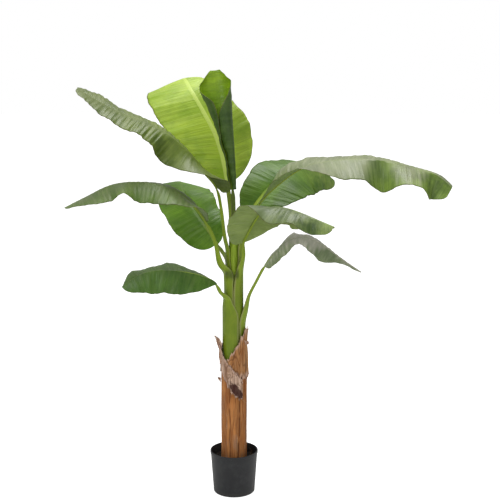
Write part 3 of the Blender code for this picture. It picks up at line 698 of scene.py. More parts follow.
def turned(profile, sides):
    """A closed body turned from (radius, height) points that start and end on the axis."""
    bm = bmesh.new()
    verts = [bm.verts.new((radius, 0, height)) for radius, height in profile]
    edges = [bm.edges.new(pair) for pair in zip(verts, verts[1:])]
    bmesh.ops.spin(bm, geom=verts + edges, cent=(0, 0, 0), axis=(0, 0, 1),
                   angle=2 * math.pi, steps=sides, use_merge=True)
    bmesh.ops.remove_doubles(bm, verts=bm.verts, dist=MERGE)
    bmesh.ops.recalc_face_normals(bm, faces=bm.faces)
    return bm


def strand(bm, line, radius):
    """A thin fibre along a line, drawn to a point at its far end."""
    line = np.array(line, float)
    tangents = unit(np.gradient(line, axis=0))
    sideways = unit(np.cross(tangents, (0.31, 0.17, 0.93)))
    upward = np.cross(tangents, sideways)
    before = set(bm.verts)
    bmesh.ops.create_grid(bm, x_segments=STRAND_SIDES, y_segments=len(line) - 1, size=1.0)
    made = [vert for vert in bm.verts if vert not in before]
    for vert in made:
        turn = (vert.co.x + 1) * math.pi
        row = round((vert.co.y + 1) / 2 * (len(line) - 1))
        thick = radius * (1 - STRAND_TAPER * row / (len(line) - 1))
        vert.co = (line[row] + sideways[row] * math.cos(turn) * thick
                   + upward[row] * math.sin(turn) * thick)
    bmesh.ops.remove_doubles(bm, verts=made, dist=radius * STRAND_MERGE)


def close_strands(bm):
    """Fill the ends of all fibres and turn their faces outwards."""
    ends = [edge for edge in bm.edges if edge.is_boundary]
    bmesh.ops.holes_fill(bm, edges=ends, sides=0)
    bmesh.ops.recalc_face_normals(bm, faces=bm.faces)
    return bm


def add_node(tree, kind, inputs=None, **settings):
    """A shader node with its settings; an input that is a socket is linked, others are set."""
    node = tree.nodes.new("ShaderNode" + kind)
    for key, value in settings.items():
        setattr(node, key, value)
    for key, value in (inputs or {}).items():
        if isinstance(value, bpy.types.NodeSocket):
            tree.links.new(value, node.inputs[key])
        else:
            node.inputs[key].default_value = value
    return node


def reckon(tree, operation, first, second=0.0):
    """One sum on values."""
    return add_node(tree, "Math", {0: first, 1: second}, operation=operation).outputs[0]


def times(tree, first, second):
    """One value times another."""
    return reckon(tree, "MULTIPLY", first, second)


def plus(tree, first, second):
    """Two values added."""
    return reckon(tree, "ADD", first, second)


def within(tree, value, low, high):
    """0 below low, 1 above high, and a soft step between; the other way round if low > high."""
    start, end = (0.0, 1.0) if low < high else (1.0, 0.0)
    low, high = min(low, high), max(low, high)
    return add_node(tree, "MapRange", {"Value": value, "From Min": low, "From Max": high,
                                       "To Min": start, "To Max": end},
                    interpolation_type="SMOOTHSTEP").outputs["Result"]


def mixed(tree, share, first, second, blend="MIX"):
    """Two colours mixed by a share."""
    return add_node(tree, "Mix", {0: share, 6: first, 7: second}, data_type="RGBA",
                    blend_type=blend).outputs[2]


def tinted(tree, ground, colour, mask, share):
    """The ground with a colour laid over it where the mask is, by a share."""
    return mixed(tree, times(tree, mask, share), ground, colour)


def cloud(tree, vector, scale, detail=3.0, roughness=0.55, distortion=0.0):
    """Soft noise from 0 to 1 at places."""
    return add_node(tree, "TexNoise", {"Vector": vector, "Scale": scale, "Detail": detail,
                                       "Roughness": roughness,
                                       "Distortion": distortion}).outputs[0]


def new_group(name, inputs, outputs):
    """An empty node group with number inputs and outputs, and its two end nodes."""
    group = bpy.data.node_groups.new(name, "ShaderNodeTree")
    for title, value in inputs.items():
        made = group.interface.new_socket(name=title, in_out="INPUT",
                                          socket_type="NodeSocketFloat")
        made.default_value = value
    for title in outputs:
        group.interface.new_socket(name=title, in_out="OUTPUT", socket_type="NodeSocketFloat")
    return group, group.nodes.new("NodeGroupInput"), group.nodes.new("NodeGroupOutput")


def leaf_grain():
    """What shows on a leaf's face, from its map: fine veins, broad bands, mottle, rib and edge."""
    tree, given, result = new_group(
        "leaf_grain", {"Length": 0.6, "Seed": 0.0},
        ("Veins", "Bands", "Mottle", "Rib", "Edge", "Far", "Height"))
    places = add_node(tree, "TexCoord")
    split = add_node(tree, "SeparateXYZ", {0: places.outputs["UV"]})
    signed = reckon(tree, "SUBTRACT", split.outputs[0], 0.5)
    side = times(tree, reckon(tree, "ABSOLUTE", signed), 2.0)
    half_seed = plus(tree, reckon(tree, "SIGN", signed), given.outputs["Seed"])
    metres = times(tree, split.outputs[1], given.outputs["Length"])
    lean = plus(tree, metres, times(tree, side, 0.004))
    fine_place = add_node(tree, "CombineXYZ", {
        0: times(tree, side, 0.9), 1: times(tree, lean, 330.0),
        2: times(tree, half_seed, 9.7)})
    band_place = add_node(tree, "CombineXYZ", {
        0: times(tree, side, 0.8), 1: times(tree, lean, 75.0),
        2: times(tree, half_seed, 5.3)})
    veins = within(tree, cloud(tree, fine_place.outputs[0], 1.0, 2.0, 0.5), 0.35, 0.65)
    bands = within(tree, cloud(tree, band_place.outputs[0], 1.0, 2.0, 0.55), 0.40, 0.66)
    mottle = within(tree, cloud(tree, places.outputs["Object"], 11.0, 4.0, 0.6), 0.32, 0.68)
    rib = within(tree, side, 0.075, 0.045)
    edge_waver = times(tree, veins, 0.012)
    edge = within(tree, plus(tree, side, edge_waver), 0.985, 1.0)
    height = plus(tree, times(tree, veins, 0.5), bands)
    height = times(tree, height, reckon(tree, "SUBTRACT", 1.0, rib))
    for title, value in (("Veins", veins), ("Bands", bands), ("Mottle", mottle), ("Rib", rib),
                         ("Edge", edge), ("Far", split.outputs[1]), ("Height", height)):
        tree.links.new(value, result.inputs[title])
    return tree


def dry_fibre():
    """What shows on dead sheaths: long fibres, broad patches and dark cracks, all upright."""
    tree, given, result = new_group(
        "dry_fibre", {"Fineness": 1.0, "Seed": 0.0}, ("Fibre", "Streak", "Patch", "Crack", "Height"))
    places = add_node(tree, "TexCoord")
    shifted = add_node(tree, "VectorMath", {0: places.outputs["Object"]}, operation="ADD")
    offset = add_node(tree, "CombineXYZ", {0: given.outputs["Seed"], 1: 0.0, 2: 0.0})
    tree.links.new(offset.outputs[0], shifted.inputs[1])
    spots = shifted.outputs[0]

    def stretched(wide, tall):
        scale = add_node(tree, "CombineXYZ", {0: wide, 1: wide, 2: tall})
        grown = add_node(tree, "VectorMath", {0: spots, 1: scale.outputs[0]},
                         operation="MULTIPLY")
        sized = add_node(tree, "VectorMath", {0: grown.outputs[0]}, operation="SCALE")
        tree.links.new(given.outputs["Fineness"], sized.inputs["Scale"])
        return sized.outputs[0]

    fibre = cloud(tree, stretched(520.0, 14.0), 1.0, 3.0, 0.6)
    streak = cloud(tree, stretched(80.0, 6.0), 1.0, 5.0, 0.65, 0.5)
    patch = cloud(tree, stretched(26.0, 6.0), 1.0, 3.0, 0.5)
    crack = within(tree, cloud(tree, stretched(85.0, 3.2), 1.0, 2.0, 0.4, 0.6), 0.36, 0.29)
    fibre = within(tree, fibre, 0.32, 0.68)
    streak = within(tree, streak, 0.40, 0.60)
    patch = within(tree, patch, 0.36, 0.64)
    height = plus(tree, times(tree, fibre, 0.35), streak)
    height = reckon(tree, "SUBTRACT", height, times(tree, crack, 1.5))
    for title, value in (("Fibre", fibre), ("Streak", streak), ("Patch", patch),
                         ("Crack", crack), ("Height", height)):
        tree.links.new(value, result.inputs[title])
    return tree


def new_material(name, roughness):
    """A material with its Principled shader and node tree."""
    made = bpy.data.materials.new(name)
    made.use_nodes = True
    shader = made.node_tree.nodes["Principled BSDF"]
    shader.inputs["Roughness"].default_value = roughness
    return made, made.node_tree, shader


def use_group(tree, group, **inputs):
    """One shared group placed in a material with its own values."""
    node = tree.nodes.new("ShaderNodeGroup")
    node.node_tree = group
    for title, value in inputs.items():
        node.inputs[title].default_value = value
    return node.outputs


def bumped(tree, shader, height, strength, distance):
    """Small relief that the mesh is too coarse for."""
    bump = add_node(tree, "Bump", {"Height": height, "Strength": strength,
                                   "Distance": distance})
    tree.links.new(bump.outputs[0], shader.inputs["Normal"])


def blade_face(name, colours, length, seed, underside):
    """One face of a blade: green with veins, a painted grey sheen where it faces up, a pale rib, a dry
    edge.
    """
    made, tree, shader = new_material(name, 0.42)
    grain = use_group(tree, LEAF_GRAIN, Length=length, Seed=seed)
    fresh, deep = ("under", "under_deep") if underside else ("fresh", "deep")
    ground = mixed(tree, within(tree, grain["Far"], 0.45, 0.85), colours[fresh],
                   colours["under" if underside else "far"])
    ground = mixed(tree, grain["Mottle"], colours[deep], ground)
    ground = tinted(tree, ground, colours[deep], grain["Veins"], 0.40)
    ground = tinted(tree, ground, colours["under"], grain["Bands"], 0.22)
    # Painted sheen: the grey sheen colour laid over the face, most where it points up and patchy along
    # the bands, standing in for the reflection of the light above.
    facing = add_node(tree, "SeparateXYZ", {0: add_node(tree, "TexCoord").outputs["Normal"]})
    upward = within(tree, facing.outputs[2], 0.35, 0.95)
    patchy = plus(tree, times(tree, grain["Bands"], 0.3), 0.7)
    bloom = plus(tree, times(tree, upward, 0.9), 0.12)
    bloom = times(tree, bloom, times(tree, patchy, colours["bloom"]))
    ground = mixed(tree, bloom, ground, colours["sheen"])
    rib = within(tree, grain["Far"], colours["rib_reach"] + 0.15, colours["rib_reach"])
    rib = plus(tree, times(tree, rib, 0.85), 0.08)
    ground = mixed(tree, times(tree, grain["Rib"], rib), ground, colours["rib"])
    ground = tinted(tree, ground, paint(104, 92, 60), grain["Edge"], 0.75)
    tree.links.new(ground, shader.inputs["Base Color"])
    rough = plus(tree, times(tree, grain["Mottle"], 0.12), 0.36)
    tree.links.new(rough, shader.inputs["Roughness"])
    shader.inputs["Specular IOR Level"].default_value = 0.35
    bumped(tree, shader, grain["Height"], 0.6, 0.0010)
    return made


def stalk_finish(name, sheath, petiole, rib, edge):
    """A stalk: fine lengthwise lines, its colour changing from sheath to rib, dry margins, and a
    painted shade below the mouths of the front sheaths.
    """
    made, tree, shader = new_material(name, 0.4)
    places = add_node(tree, "TexCoord")
    split = add_node(tree, "SeparateXYZ", {0: places.outputs["UV"]})
    stage = times(tree, split.outputs[1], 3.0)
    around = split.outputs[0]
    line_place = add_node(tree, "CombineXYZ", {0: times(tree, around, 90.0),
                                               1: times(tree, stage, 1.6), 2: 0.0})
    lines = within(tree, cloud(tree, line_place.outputs[0], 1.0, 3.0, 0.6), 0.34, 0.66)
    mottle = within(tree, cloud(tree, places.outputs["Object"], 16.0, 4.0, 0.6), 0.35, 0.70)
    ground = mixed(tree, within(tree, stage, 0.75, 1.15), sheath, petiole)
    ground = mixed(tree, within(tree, stage, 1.7, 2.2), ground, rib)
    ground = mixed(tree, times(tree, lines, 0.45), ground,
                   mixed(tree, 0.5, ground, paint(62, 84, 14)))
    ground = mixed(tree, times(tree, mottle, 0.35), ground,
                   mixed(tree, 0.5, ground, paint(176, 188, 70)))
    inner = add_node(tree, "Attribute", attribute_name="inner").outputs["Fac"]
    hollow = times(tree, inner, within(tree, stage, 2.05, 1.9))
    ground = tinted(tree, ground, paint(124, 138, 66), hollow, 0.5)
    margin = reckon(tree, "ABSOLUTE", reckon(tree, "SUBTRACT", around, 0.5))
    ends = reckon(tree, "MINIMUM", margin, reckon(tree, "SUBTRACT", 0.5, margin))
    pale_rim = times(tree, within(tree, ends, 0.075, 0.030),
                      within(tree, stage, 1.9, 1.3))
    ground = tinted(tree, ground, paint(152, 148, 104), pale_rim, 0.55)
    rim = times(tree, within(tree, ends, 0.014, 0.006),
                 within(tree, stage, 2.1, 1.8))
    ground = tinted(tree, ground, edge, rim, 0.55)
    # Painted shade: a dark smudge at the front just below the mouths of the outer sheaths, where shade
    # falls in the notch between them.
    place = add_node(tree, "SeparateXYZ", {0: places.outputs["Object"]})
    painted_notch_shade = times(tree, within(tree, place.outputs[2], 0.905, 0.935),
                   within(tree, place.outputs[2], 0.975, 0.945))
    painted_notch_shade = times(tree, painted_notch_shade, within(tree, place.outputs[1], -0.005, -0.025))
    painted_notch_shade = times(tree, painted_notch_shade, times(
        tree, within(tree, place.outputs[0], -0.038, -0.028),
        within(tree, place.outputs[0], 0.028, 0.018)))
    painted_notch_shade = times(tree, painted_notch_shade, plus(tree, 0.45,
                                                   times(tree, mottle, 0.35)))
    ground = mixed(tree, painted_notch_shade, ground, paint(52, 62, 26))
    tree.links.new(ground, shader.inputs["Base Color"])
    shader.inputs["Specular IOR Level"].default_value = 0.3
    bumped(tree, shader, lines, 0.35, 0.0005)
    return made


def stem_finish():
    """The green core where it shows between the sheaths, its green painted lighter to lift the shade
    that falls on it there.
    """
    made, tree, shader = new_material("stem_green_painted_light", 0.45)
    places = add_node(tree, "TexCoord").outputs["Object"]
    sized = add_node(tree, "VectorMath", {0: places, 1: (160.0, 160.0, 9.0)},
                     operation="MULTIPLY")
    lines = within(tree, cloud(tree, sized.outputs[0], 1.0), 0.35, 0.65)
    # Painted light: both greens are lighter than the core's own, to offset the shade between the
    # sheaths.
    tree.links.new(mixed(tree, lines, paint(138, 166, 44), paint(168, 196, 66)),
                   shader.inputs["Base Color"])
    shader.inputs["Specular IOR Level"].default_value = 0.3
    bumped(tree, shader, lines, 0.3, 0.0005)
    return made


def bark_finish():
    """Brown bark: tan and dark fibres, reddish patches, dark cracks, painted shade in its lapped seams
    and a dark foot in the soil.
    """
    made, tree, shader = new_material("bark_brown", 0.78)
    grain = use_group(tree, DRY_FIBRE, Fineness=1.0, Seed=0.0)
    ground = mixed(tree, grain["Patch"], paint(156, 90, 42), paint(202, 131, 75))
    ground = tinted(tree, ground, paint(128, 71, 36), grain["Streak"], 0.85)
    ground = tinted(tree, ground, paint(210, 152, 96), grain["Fibre"], 0.55)
    ground = tinted(tree, ground, paint(62, 32, 18), grain["Crack"], 0.9)
    places = add_node(tree, "TexCoord").outputs["Object"]
    sized = add_node(tree, "VectorMath", {0: places, 1: (34.0, 34.0, 7.0)}, operation="MULTIPLY")
    worn = within(tree, cloud(tree, sized.outputs[0], 1.0, 4.0, 0.6), 0.52, 0.66)
    ground = tinted(tree, ground, paint(156, 124, 102), worn, 0.6)
    shader.inputs["Specular IOR Level"].default_value = 0.2
    # Painted shade: darkest in the lapped seams, where shade falls under each lip, and dark on the rims
    # and in the bore.
    painted_seam_shade = add_node(tree, "Attribute", attribute_name="inner").outputs["Fac"]
    ground = tinted(tree, ground, paint(50, 26, 14), painted_seam_shade, 0.85)
    tree.links.new(ground, shader.inputs["Base Color"])
    bumped(tree, shader, grain["Height"], 0.7, 0.0012)
    return made


def husk_finish(name, seed, pale, dark, stain=False):
    """Dry husk: papery beige to golden brown, darker torn edges with painted shadow along them, painted
    shade in its crease grooves and, on one, a maroon patch.
    """
    made, tree, shader = new_material(name, 0.82)
    grain = use_group(tree, DRY_FIBRE, Fineness=1.2, Seed=seed)
    places = add_node(tree, "TexCoord")
    ground = mixed(tree, grain["Patch"], dark, pale)
    ground = mixed(tree, times(tree, grain["Fibre"], 0.5), ground,
                   mixed(tree, 0.5, ground, paint(232, 200, 164)))
    ground = mixed(tree, times(tree, grain["Streak"], 0.7), ground,
                   mixed(tree, 0.6, ground, paint(108, 62, 32)))
    ground = tinted(tree, ground, paint(78, 46, 30), grain["Crack"], 0.7)
    split = add_node(tree, "SeparateXYZ", {0: places.outputs["UV"]})
    rise = reckon(tree, "ABSOLUTE", reckon(tree, "SUBTRACT", split.outputs[1], 0.5))
    torn = plus(tree, rise, times(tree, grain["Streak"], 0.03))
    ground = mixed(tree, times(tree, within(tree, torn, 0.36, 0.46), 0.6), ground,
                   paint(224, 192, 174))
    # A dark band at the very edges: the torn edges' own darker colour, with painted shadow where an
    # edge lies over the husk beneath.
    ground = mixed(tree, times(tree, within(tree, torn, 0.50, 0.525), 0.8), ground,
                   paint(84, 48, 30))
    # Painted shade in the crease grooves, from the inner attribute.
    painted_crease_shade = add_node(tree, "Attribute", attribute_name="inner").outputs["Fac"]
    ground = tinted(tree, ground, paint(92, 56, 34), painted_crease_shade, 0.55)
    if stain:
        moved = add_node(tree, "VectorMath", {0: places.outputs["Object"],
                                              1: (-0.010, 0.045, -0.456)}, operation="ADD")
        leaned = add_node(tree, "VectorRotate", {"Vector": moved.outputs[0], "Angle": 0.62},
                          rotation_type="Y_AXIS")
        sized = add_node(tree, "VectorMath", {0: leaned.outputs[0], 1: (48.0, 22.0, 17.0)},
                         operation="MULTIPLY")
        far = add_node(tree, "VectorMath", {0: sized.outputs[0]}, operation="LENGTH")
        ragged = plus(tree, far.outputs["Value"], times(
            tree, cloud(tree, places.outputs["Object"], 90.0, 5.0, 0.8), 1.1))
        patch = within(tree, ragged, 1.45, 1.25)
        ground = tinted(tree, ground, paint(70, 38, 34), patch, 0.92)
    tree.links.new(ground, shader.inputs["Base Color"])
    shader.inputs["Specular IOR Level"].default_value = 0.2
    bumped(tree, shader, grain["Height"], 0.8, 0.0014)
    return made


def pot_finish():
    """Matt black moulded plastic with a fine grain, faint rings and dust towards its foot."""
    made, tree, shader = new_material("pot_black", 0.48)
    places = add_node(tree, "TexCoord")
    split = add_node(tree, "SeparateXYZ", {0: places.outputs["Object"]})
    grain = cloud(tree, places.outputs["Object"], 900.0, 2.0, 0.6)
    scuffs = within(tree, cloud(tree, places.outputs["Object"], 28.0, 5.0, 0.7), 0.45, 0.75)
    ground = mixed(tree, scuffs, paint(40, 41, 43), paint(54, 55, 56))
    dust = within(tree, split.outputs[2], 0.03, 0.0)
    ground = tinted(tree, ground, paint(84, 82, 78), dust, 0.25)
    tree.links.new(ground, shader.inputs["Base Color"])
    rough = plus(tree, times(tree, scuffs, 0.14), 0.42)
    tree.links.new(rough, shader.inputs["Roughness"])
    rings = add_node(tree, "Math", {0: times(tree, split.outputs[2], 2200.0)},
                     operation="SINE").outputs[0]
    height = plus(tree, grain, times(tree, rings, 0.12))
    bumped(tree, shader, height, 0.25, 0.0003)
    return made


def soil_finish(name, dark, pale):
    """Crumbly dark filling."""
    made, tree, shader = new_material(name, 0.95)
    places = add_node(tree, "TexCoord").outputs["Object"]
    grit = cloud(tree, places, 260.0, 4.0, 0.7)
    clumps = within(tree, cloud(tree, places, 60.0, 4.0, 0.6), 0.35, 0.7)
    ground = mixed(tree, clumps, dark, pale)
    ground = mixed(tree, within(tree, grit, 0.62, 0.72), ground, paint(112, 96, 76))
    tree.links.new(ground, shader.inputs["Base Color"])
    bumped(tree, shader, grit, 0.8, 0.0012)
    return made


def straw_finish():
    """Pale dry fibres."""
    made, tree, shader = new_material("straw", 0.75)
    places = add_node(tree, "TexCoord").outputs["Object"]
    tint = within(tree, cloud(tree, places, 45.0, 3.0, 0.6), 0.35, 0.65)
    tree.links.new(mixed(tree, tint, paint(150, 112, 76), paint(206, 178, 140)),
                   shader.inputs["Base Color"])
    bumped(tree, shader, cloud(tree, places, 800.0), 0.3, 0.0002)
    return made


def add_leaf(number, plan):
    """The fine stalk and blade of one leaf, in place of its two solids."""
    chance = random.Random(int(number))
    row = leaf_stations(plan)
    inner = [1.0] * ARC_POINTS + [0.0] * ARC_POINTS
    bm = closed_tube(stalk_rings(plan, row), row["stage"] / 3, inner)
    stalk = place_object(f"fine_stalk_{number}", bm, [STALKS[plan["stalk"]]])
    settle(stalk, "stalk", f"stalk_{number}")
    colours = LOOKS[plan["look"]]
    faces = [blade_face(f"blade_{side}_{number}", colours, row["length"], int(number), under)
             for side, under in (("upper", False), ("under", True))]
    points, across = blade_grid(plan, row, chance)
    share = row["share"][-row["rows"]:]
    blade = thin_sheet(f"fine_blade_{number}", points, across, share, BLADE_THICK, faces)
    settle(blade, "blade", f"blade_{number}")


def pot_inner_radius(z):
    """Inner radius of the pot's wall at a height."""
    share = z / POT_HEIGHT
    return BASE_RADIUS + (RIM_RADIUS - LIP_PROUD - BASE_RADIUS) * share - POT_WALL


def round_corner(middle, radius, start, end, steps):
    """Points of a rounded corner in a turned profile, as (radius, height)."""
    turns = np.radians(np.linspace(start, end, steps))
    return [(middle[0] + radius * math.cos(turn), middle[1] + radius * math.sin(turn))
            for turn in turns]


def add_pot(finish):
    """The nursery pot: a tapered wall with a rolled lip and a soft foot, open at the top."""
    lip_foot = POT_HEIGHT - LIP_DEPTH
    wall_top = RIM_RADIUS - LIP_PROUD
    profile = [(0, 0)]
    profile += round_corner((BASE_RADIUS - FOOT_ROUND, FOOT_ROUND), FOOT_ROUND, -90, 0, 8)
    profile += [(BASE_RADIUS + (wall_top - BASE_RADIUS) * share - LIP_SHADOW * share,
                 FOOT_ROUND + (lip_foot - FOOT_ROUND) * share) for share in (0.25, 0.5, 0.75, 1)]
    profile += round_corner((RIM_RADIUS - LIP_PROUD, lip_foot + LIP_PROUD), LIP_PROUD, -70, 0, 5)
    profile += round_corner((RIM_RADIUS - LIP_PROUD, POT_HEIGHT - LIP_PROUD), LIP_PROUD,
                            0, 90, 6)
    inner_top = pot_inner_radius(POT_HEIGHT)
    profile += round_corner((inner_top + LIP_SHADOW, POT_HEIGHT - LIP_SHADOW), LIP_SHADOW,
                            90, 180, 4)
    profile += [(pot_inner_radius(POT_WALL), POT_WALL), (0, POT_WALL)]
    settle(place_object("moulded_pot", turned(profile, POT_SIDES), [finish]), "pot", "pot")


def add_filling(finish):
    """The filling: crumbly and a little lumpy on top, with the plain hole it stands in."""
    floor = POT_WALL + FIT_GAP
    hole_floor = BARK_FOOT - FIT_GAP
    edge = pot_inner_radius(FILL_TOP) - 2 * FIT_GAP
    profile = [(0, floor), (pot_inner_radius(floor) - 2 * FIT_GAP, floor)]
    profile += [(edge + (HOLE_RADIUS - edge) * share, FILL_TOP)
                for share in np.linspace(0, 1, FILL_RINGS)]
    profile += [(HOLE_RADIUS, hole_floor), (0, hole_floor)]
    bm = turned(profile, FILL_SIDES)
    for vert in bm.verts:
        reach = math.hypot(vert.co.x, vert.co.y)
        if vert.co.z > FILL_TOP - FIT_GAP and HOLE_RADIUS + FIT_GAP < reach < edge - FIT_GAP:
            angle = math.atan2(vert.co.y, vert.co.x)
            vert.co.z += LUMP * sum(math.sin(lobes * angle + twist * reach + start)
                                    for lobes, twist, start in LUMPS)
            vert.co.z += CRUMB_RISE * noise.fractal(vert.co * CRUMB_GRAIN, 1.0, 2.0, 4)
    settle(place_object("soil_filling", bm, [finish]), "filling", "filling")


def add_crumbs(finish):
    """Loose crumbs of soil and bark on the filling."""
    chance = random.Random(5)
    bm = bmesh.new()
    for _ in range(CRUMBS):
        size = chance.uniform(*CRUMB_SIZES)
        turn = chance.uniform(0, 2 * math.pi)
        reach = chance.uniform(*CRUMB_REACH)
        seat = Vector((reach * math.cos(turn), reach * math.sin(turn), FILL_TOP + size * CRUMB_PROUD))
        spin = Euler([chance.uniform(0, 6) for _ in range(3)]).to_matrix().to_4x4()
        squash = Matrix.Diagonal((1.0, chance.uniform(0.5, 1), chance.uniform(0.4, 0.8), 1.0))
        bmesh.ops.create_icosphere(bm, subdivisions=1, radius=size,
                                   matrix=Matrix.Translation(seat) @ spin @ squash)
    settle(place_object("soil_crumbs", bm, [finish]), "filling")


def bark_surface(angle, z):
    """Radius of the bark with its ridges, lapped seams and fibres, and how deep in a seam it is, for
    the painted shade there.
    """
    radius = BARK_RADIUS + RIDGE * sum(height * math.sin(lobes * angle + twist * z)
                                       for height, lobes, twist in RIDGES)
    share = (z - BARK_FOOT) / (BARK_TOP - BARK_FOOT)
    shade = 0.0
    least, depth, breaks = SEAM_BREAKS
    for top, foot, step in SEAMS:
        seam = foot + (top - foot) * share + SEAM_WANDER * noise.noise((0.3 * top, SEAM_BENDS * z, 0))
        past = (math.degrees(angle) - seam) % 360
        before = 360 - past
        lip = math.exp(-past / SEAM_FADE) * min(1, past / SEAM_RISE)
        radius += step * lip - step * SEAM_UNDERCUT * math.exp(-before / SEAM_RISE)
        deep = max(math.exp(-before / SEAM_SHADE), 1 - past / SEAM_RISE)
        shade = max(shade, deep * min(1, step / SEAM_DEEP)
                    * ease(least + depth * noise.noise((0.7 * top, breaks * z, 3))))
    spot = Vector((math.cos(angle), math.sin(angle), 0))
    for height, spacing, shift, stretch in KNOBS:
        radius += height * noise.noise(spot * spacing + Vector((shift, 0, stretch * z)))
    return radius, float(shade)


def add_bark(finish):
    """The brown sleeve of dead sheaths, with its bore for the green core."""
    heights = np.linspace(BARK_FOOT, BARK_TOP, BARK_ROWS)
    turns = np.linspace(0, 2 * math.pi, BARK_SIDES + 1)
    bore = layer_radius(CORE_LAYERS, BARK_FOOT) - 2 * FIT_GAP
    points = []
    # The painted seam shade at each point, kept in the inner attribute.
    inner = []
    for z in heights:
        surface = np.array([bark_surface(turn, z) for turn in turns[:-1]])
        radii, shade = np.vstack([surface, surface[:1]]).T
        points.append(np.stack([radii * np.cos(turns), radii * np.sin(turns),
                                0 * turns + z], 1))
        inner.append(shade)
    for z in (BARK_TOP, BARK_FOOT):
        points.append(np.stack([bore * np.cos(turns), bore * np.sin(turns), 0 * turns + z], 1))
    points.append(points[0])
    inner += [0 * turns + 1, 0 * turns + 1, inner[0]]
    bm = shaped_grid(np.array(points), np.linspace(0, 1, len(points)), turns / (2 * math.pi),
                     np.array(inner))
    bmesh.ops.remove_doubles(bm, verts=bm.verts, dist=MERGE)
    bmesh.ops.recalc_face_normals(bm, faces=bm.faces)
    settle(place_object("bark_sleeve", bm, [finish]), "bark", "bark")


def add_bark_fibres(finish):
    """Loose fibres that lie along the bark and lift off it at one end."""
    chance = random.Random(11)
    bm = bmesh.new()
    for _ in range(BARK_FIBRES):
        angle = chance.uniform(0, 2 * math.pi)
        foot = chance.uniform(*FIBRE_FOOT)
        length = chance.uniform(*FIBRE_LENGTH)
        lean = chance.uniform(-FIBRE_LEAN, FIBRE_LEAN)
        lift = chance.choice(FIBRE_LIFTS)
        line = []
        for share in np.linspace(0, 1, 9):
            turn = angle + lean * share
            z = foot + length * share
            reach = bark_surface(turn, z)[0] + FIBRE_CLEAR + lift * share ** 3
            line.append((reach * math.cos(turn), reach * math.sin(turn), z))
        strand(bm, line, chance.uniform(*FIBRE_RADIUS))
    settle(place_object("bark_fibres", close_strands(bm), [finish]), "bark")


def husk_points(angles, low, high, flare, layer, seed):
    """The outer face of one torn husk, [column, row], with creases and ragged edges, and where its
    crease grooves lie for their painted shade.
    """
    share = np.linspace(0, 1, HUSK_COLUMNS)[:, None]
    rise = np.linspace(0, 1, HUSK_ROWS)[None, :]
    turn = np.radians(angles[0] + (angles[1] - angles[0]) * share)
    tears = [[noise.fractal(Vector((TEAR_SPACING * value, seed + 9 * k, 0)), 1.0, 2.0, 5)
              for value in share[:, 0]] for k in range(2)]
    bottom = spread(low, share) + HUSK_TEAR * np.sin(HUSK_TEETH[0] * turn)
    top = spread(high, share) + HUSK_TEAR * np.sin(HUSK_TEETH[1] * turn)
    bottom = bottom + HUSK_RAG * np.array(tears[0])[:, None]
    top = top + HUSK_RAG * np.array(tears[1])[:, None]
    z = bottom + (top - bottom) * rise
    hug = HUSK_HUG * ease((z - BARK_TOP - HUG_START) / HUG_RUN)
    facet = math.radians(angles[1] - angles[0]) / (SOLID_HUSK_COLUMNS - 1)
    inside = (BARK_RADIUS + RIDGE + FIT_GAP) / math.cos(facet / 2)
    radius = inside + HUSK_THICK + layer * HUSK_LAYER - hug + spread(flare, share) * rise ** 3
    beside, upright = CREASE_SPACING
    creases = np.array([[noise.noise(Vector((beside * a, upright * b, seed))) for b in rise[0]]
                        for a in share[:, 0]])
    folds = np.array([[abs(noise.noise(Vector((9 * a + 1.5 * b, 2.2 * b - 5 * a, seed + 4))))
                       for b in rise[0]] for a in share[:, 0]])
    valley = ease(1 - folds / FOLD_EDGE)
    radius = radius + HUSK_CREASE * (creases + 0.5 * np.sin(CREASE_LINES[0] * share
                                                          + CREASE_LINES[1] * z))
    radius = radius + HUSK_FOLD * (1 - valley) * (0.4 + folds)
    radius = radius + EDGE_CURL * ((1 - rise) ** 6 + rise ** 6) * (creases + 0.6)
    return np.stack([radius * np.cos(turn), radius * np.sin(turn), z + 0 * radius], -1), valley


def add_husk(name, seed, finish, angles, low, high, flare, layer):
    """One torn husk wrapped on the trunk, with frayed threads along its edges."""
    points, valley = husk_points(angles, low, high, flare, layer, seed)
    sheet = thin_sheet(f"torn_{name}", points, np.linspace(0, 1, HUSK_COLUMNS),
                       np.linspace(0, 1, HUSK_ROWS), HUSK_THICK, [finish, finish], valley)
    settle(sheet, "husk", name)
    chance = random.Random(seed)
    bm = bmesh.new()
    for _ in range(HUSK_THREADS):
        column = chance.randrange(HUSK_COLUMNS)
        top = chance.random() < TOP_THREADS
        start = points[column, -1 if top else 0]
        away = unit(np.array([start[0], start[1], 0.0]))
        beside = np.array([-away[1], away[0], 0.0]) * chance.uniform(-0.6, 0.6)
        heading = away * chance.uniform(0.05, 0.5) + beside
        heading[2] = chance.uniform(0.5, 1) if top else -chance.uniform(0.4, 1)
        length = chance.uniform(*THREAD_LENGTH) * (1 + chance.random() ** 4)
        droop = chance.uniform(-0.6, 0.8)
        line = [start - 0.6 * HUSK_THICK * away + heading * length * share
                + away * droop * length * share ** 2 for share in np.linspace(0, 1, 7)]
        strand(bm, line, chance.uniform(*THREAD_RADIUS))
    settle(place_object(f"frayed_{name}", close_strands(bm), [STRAW]), "husk")


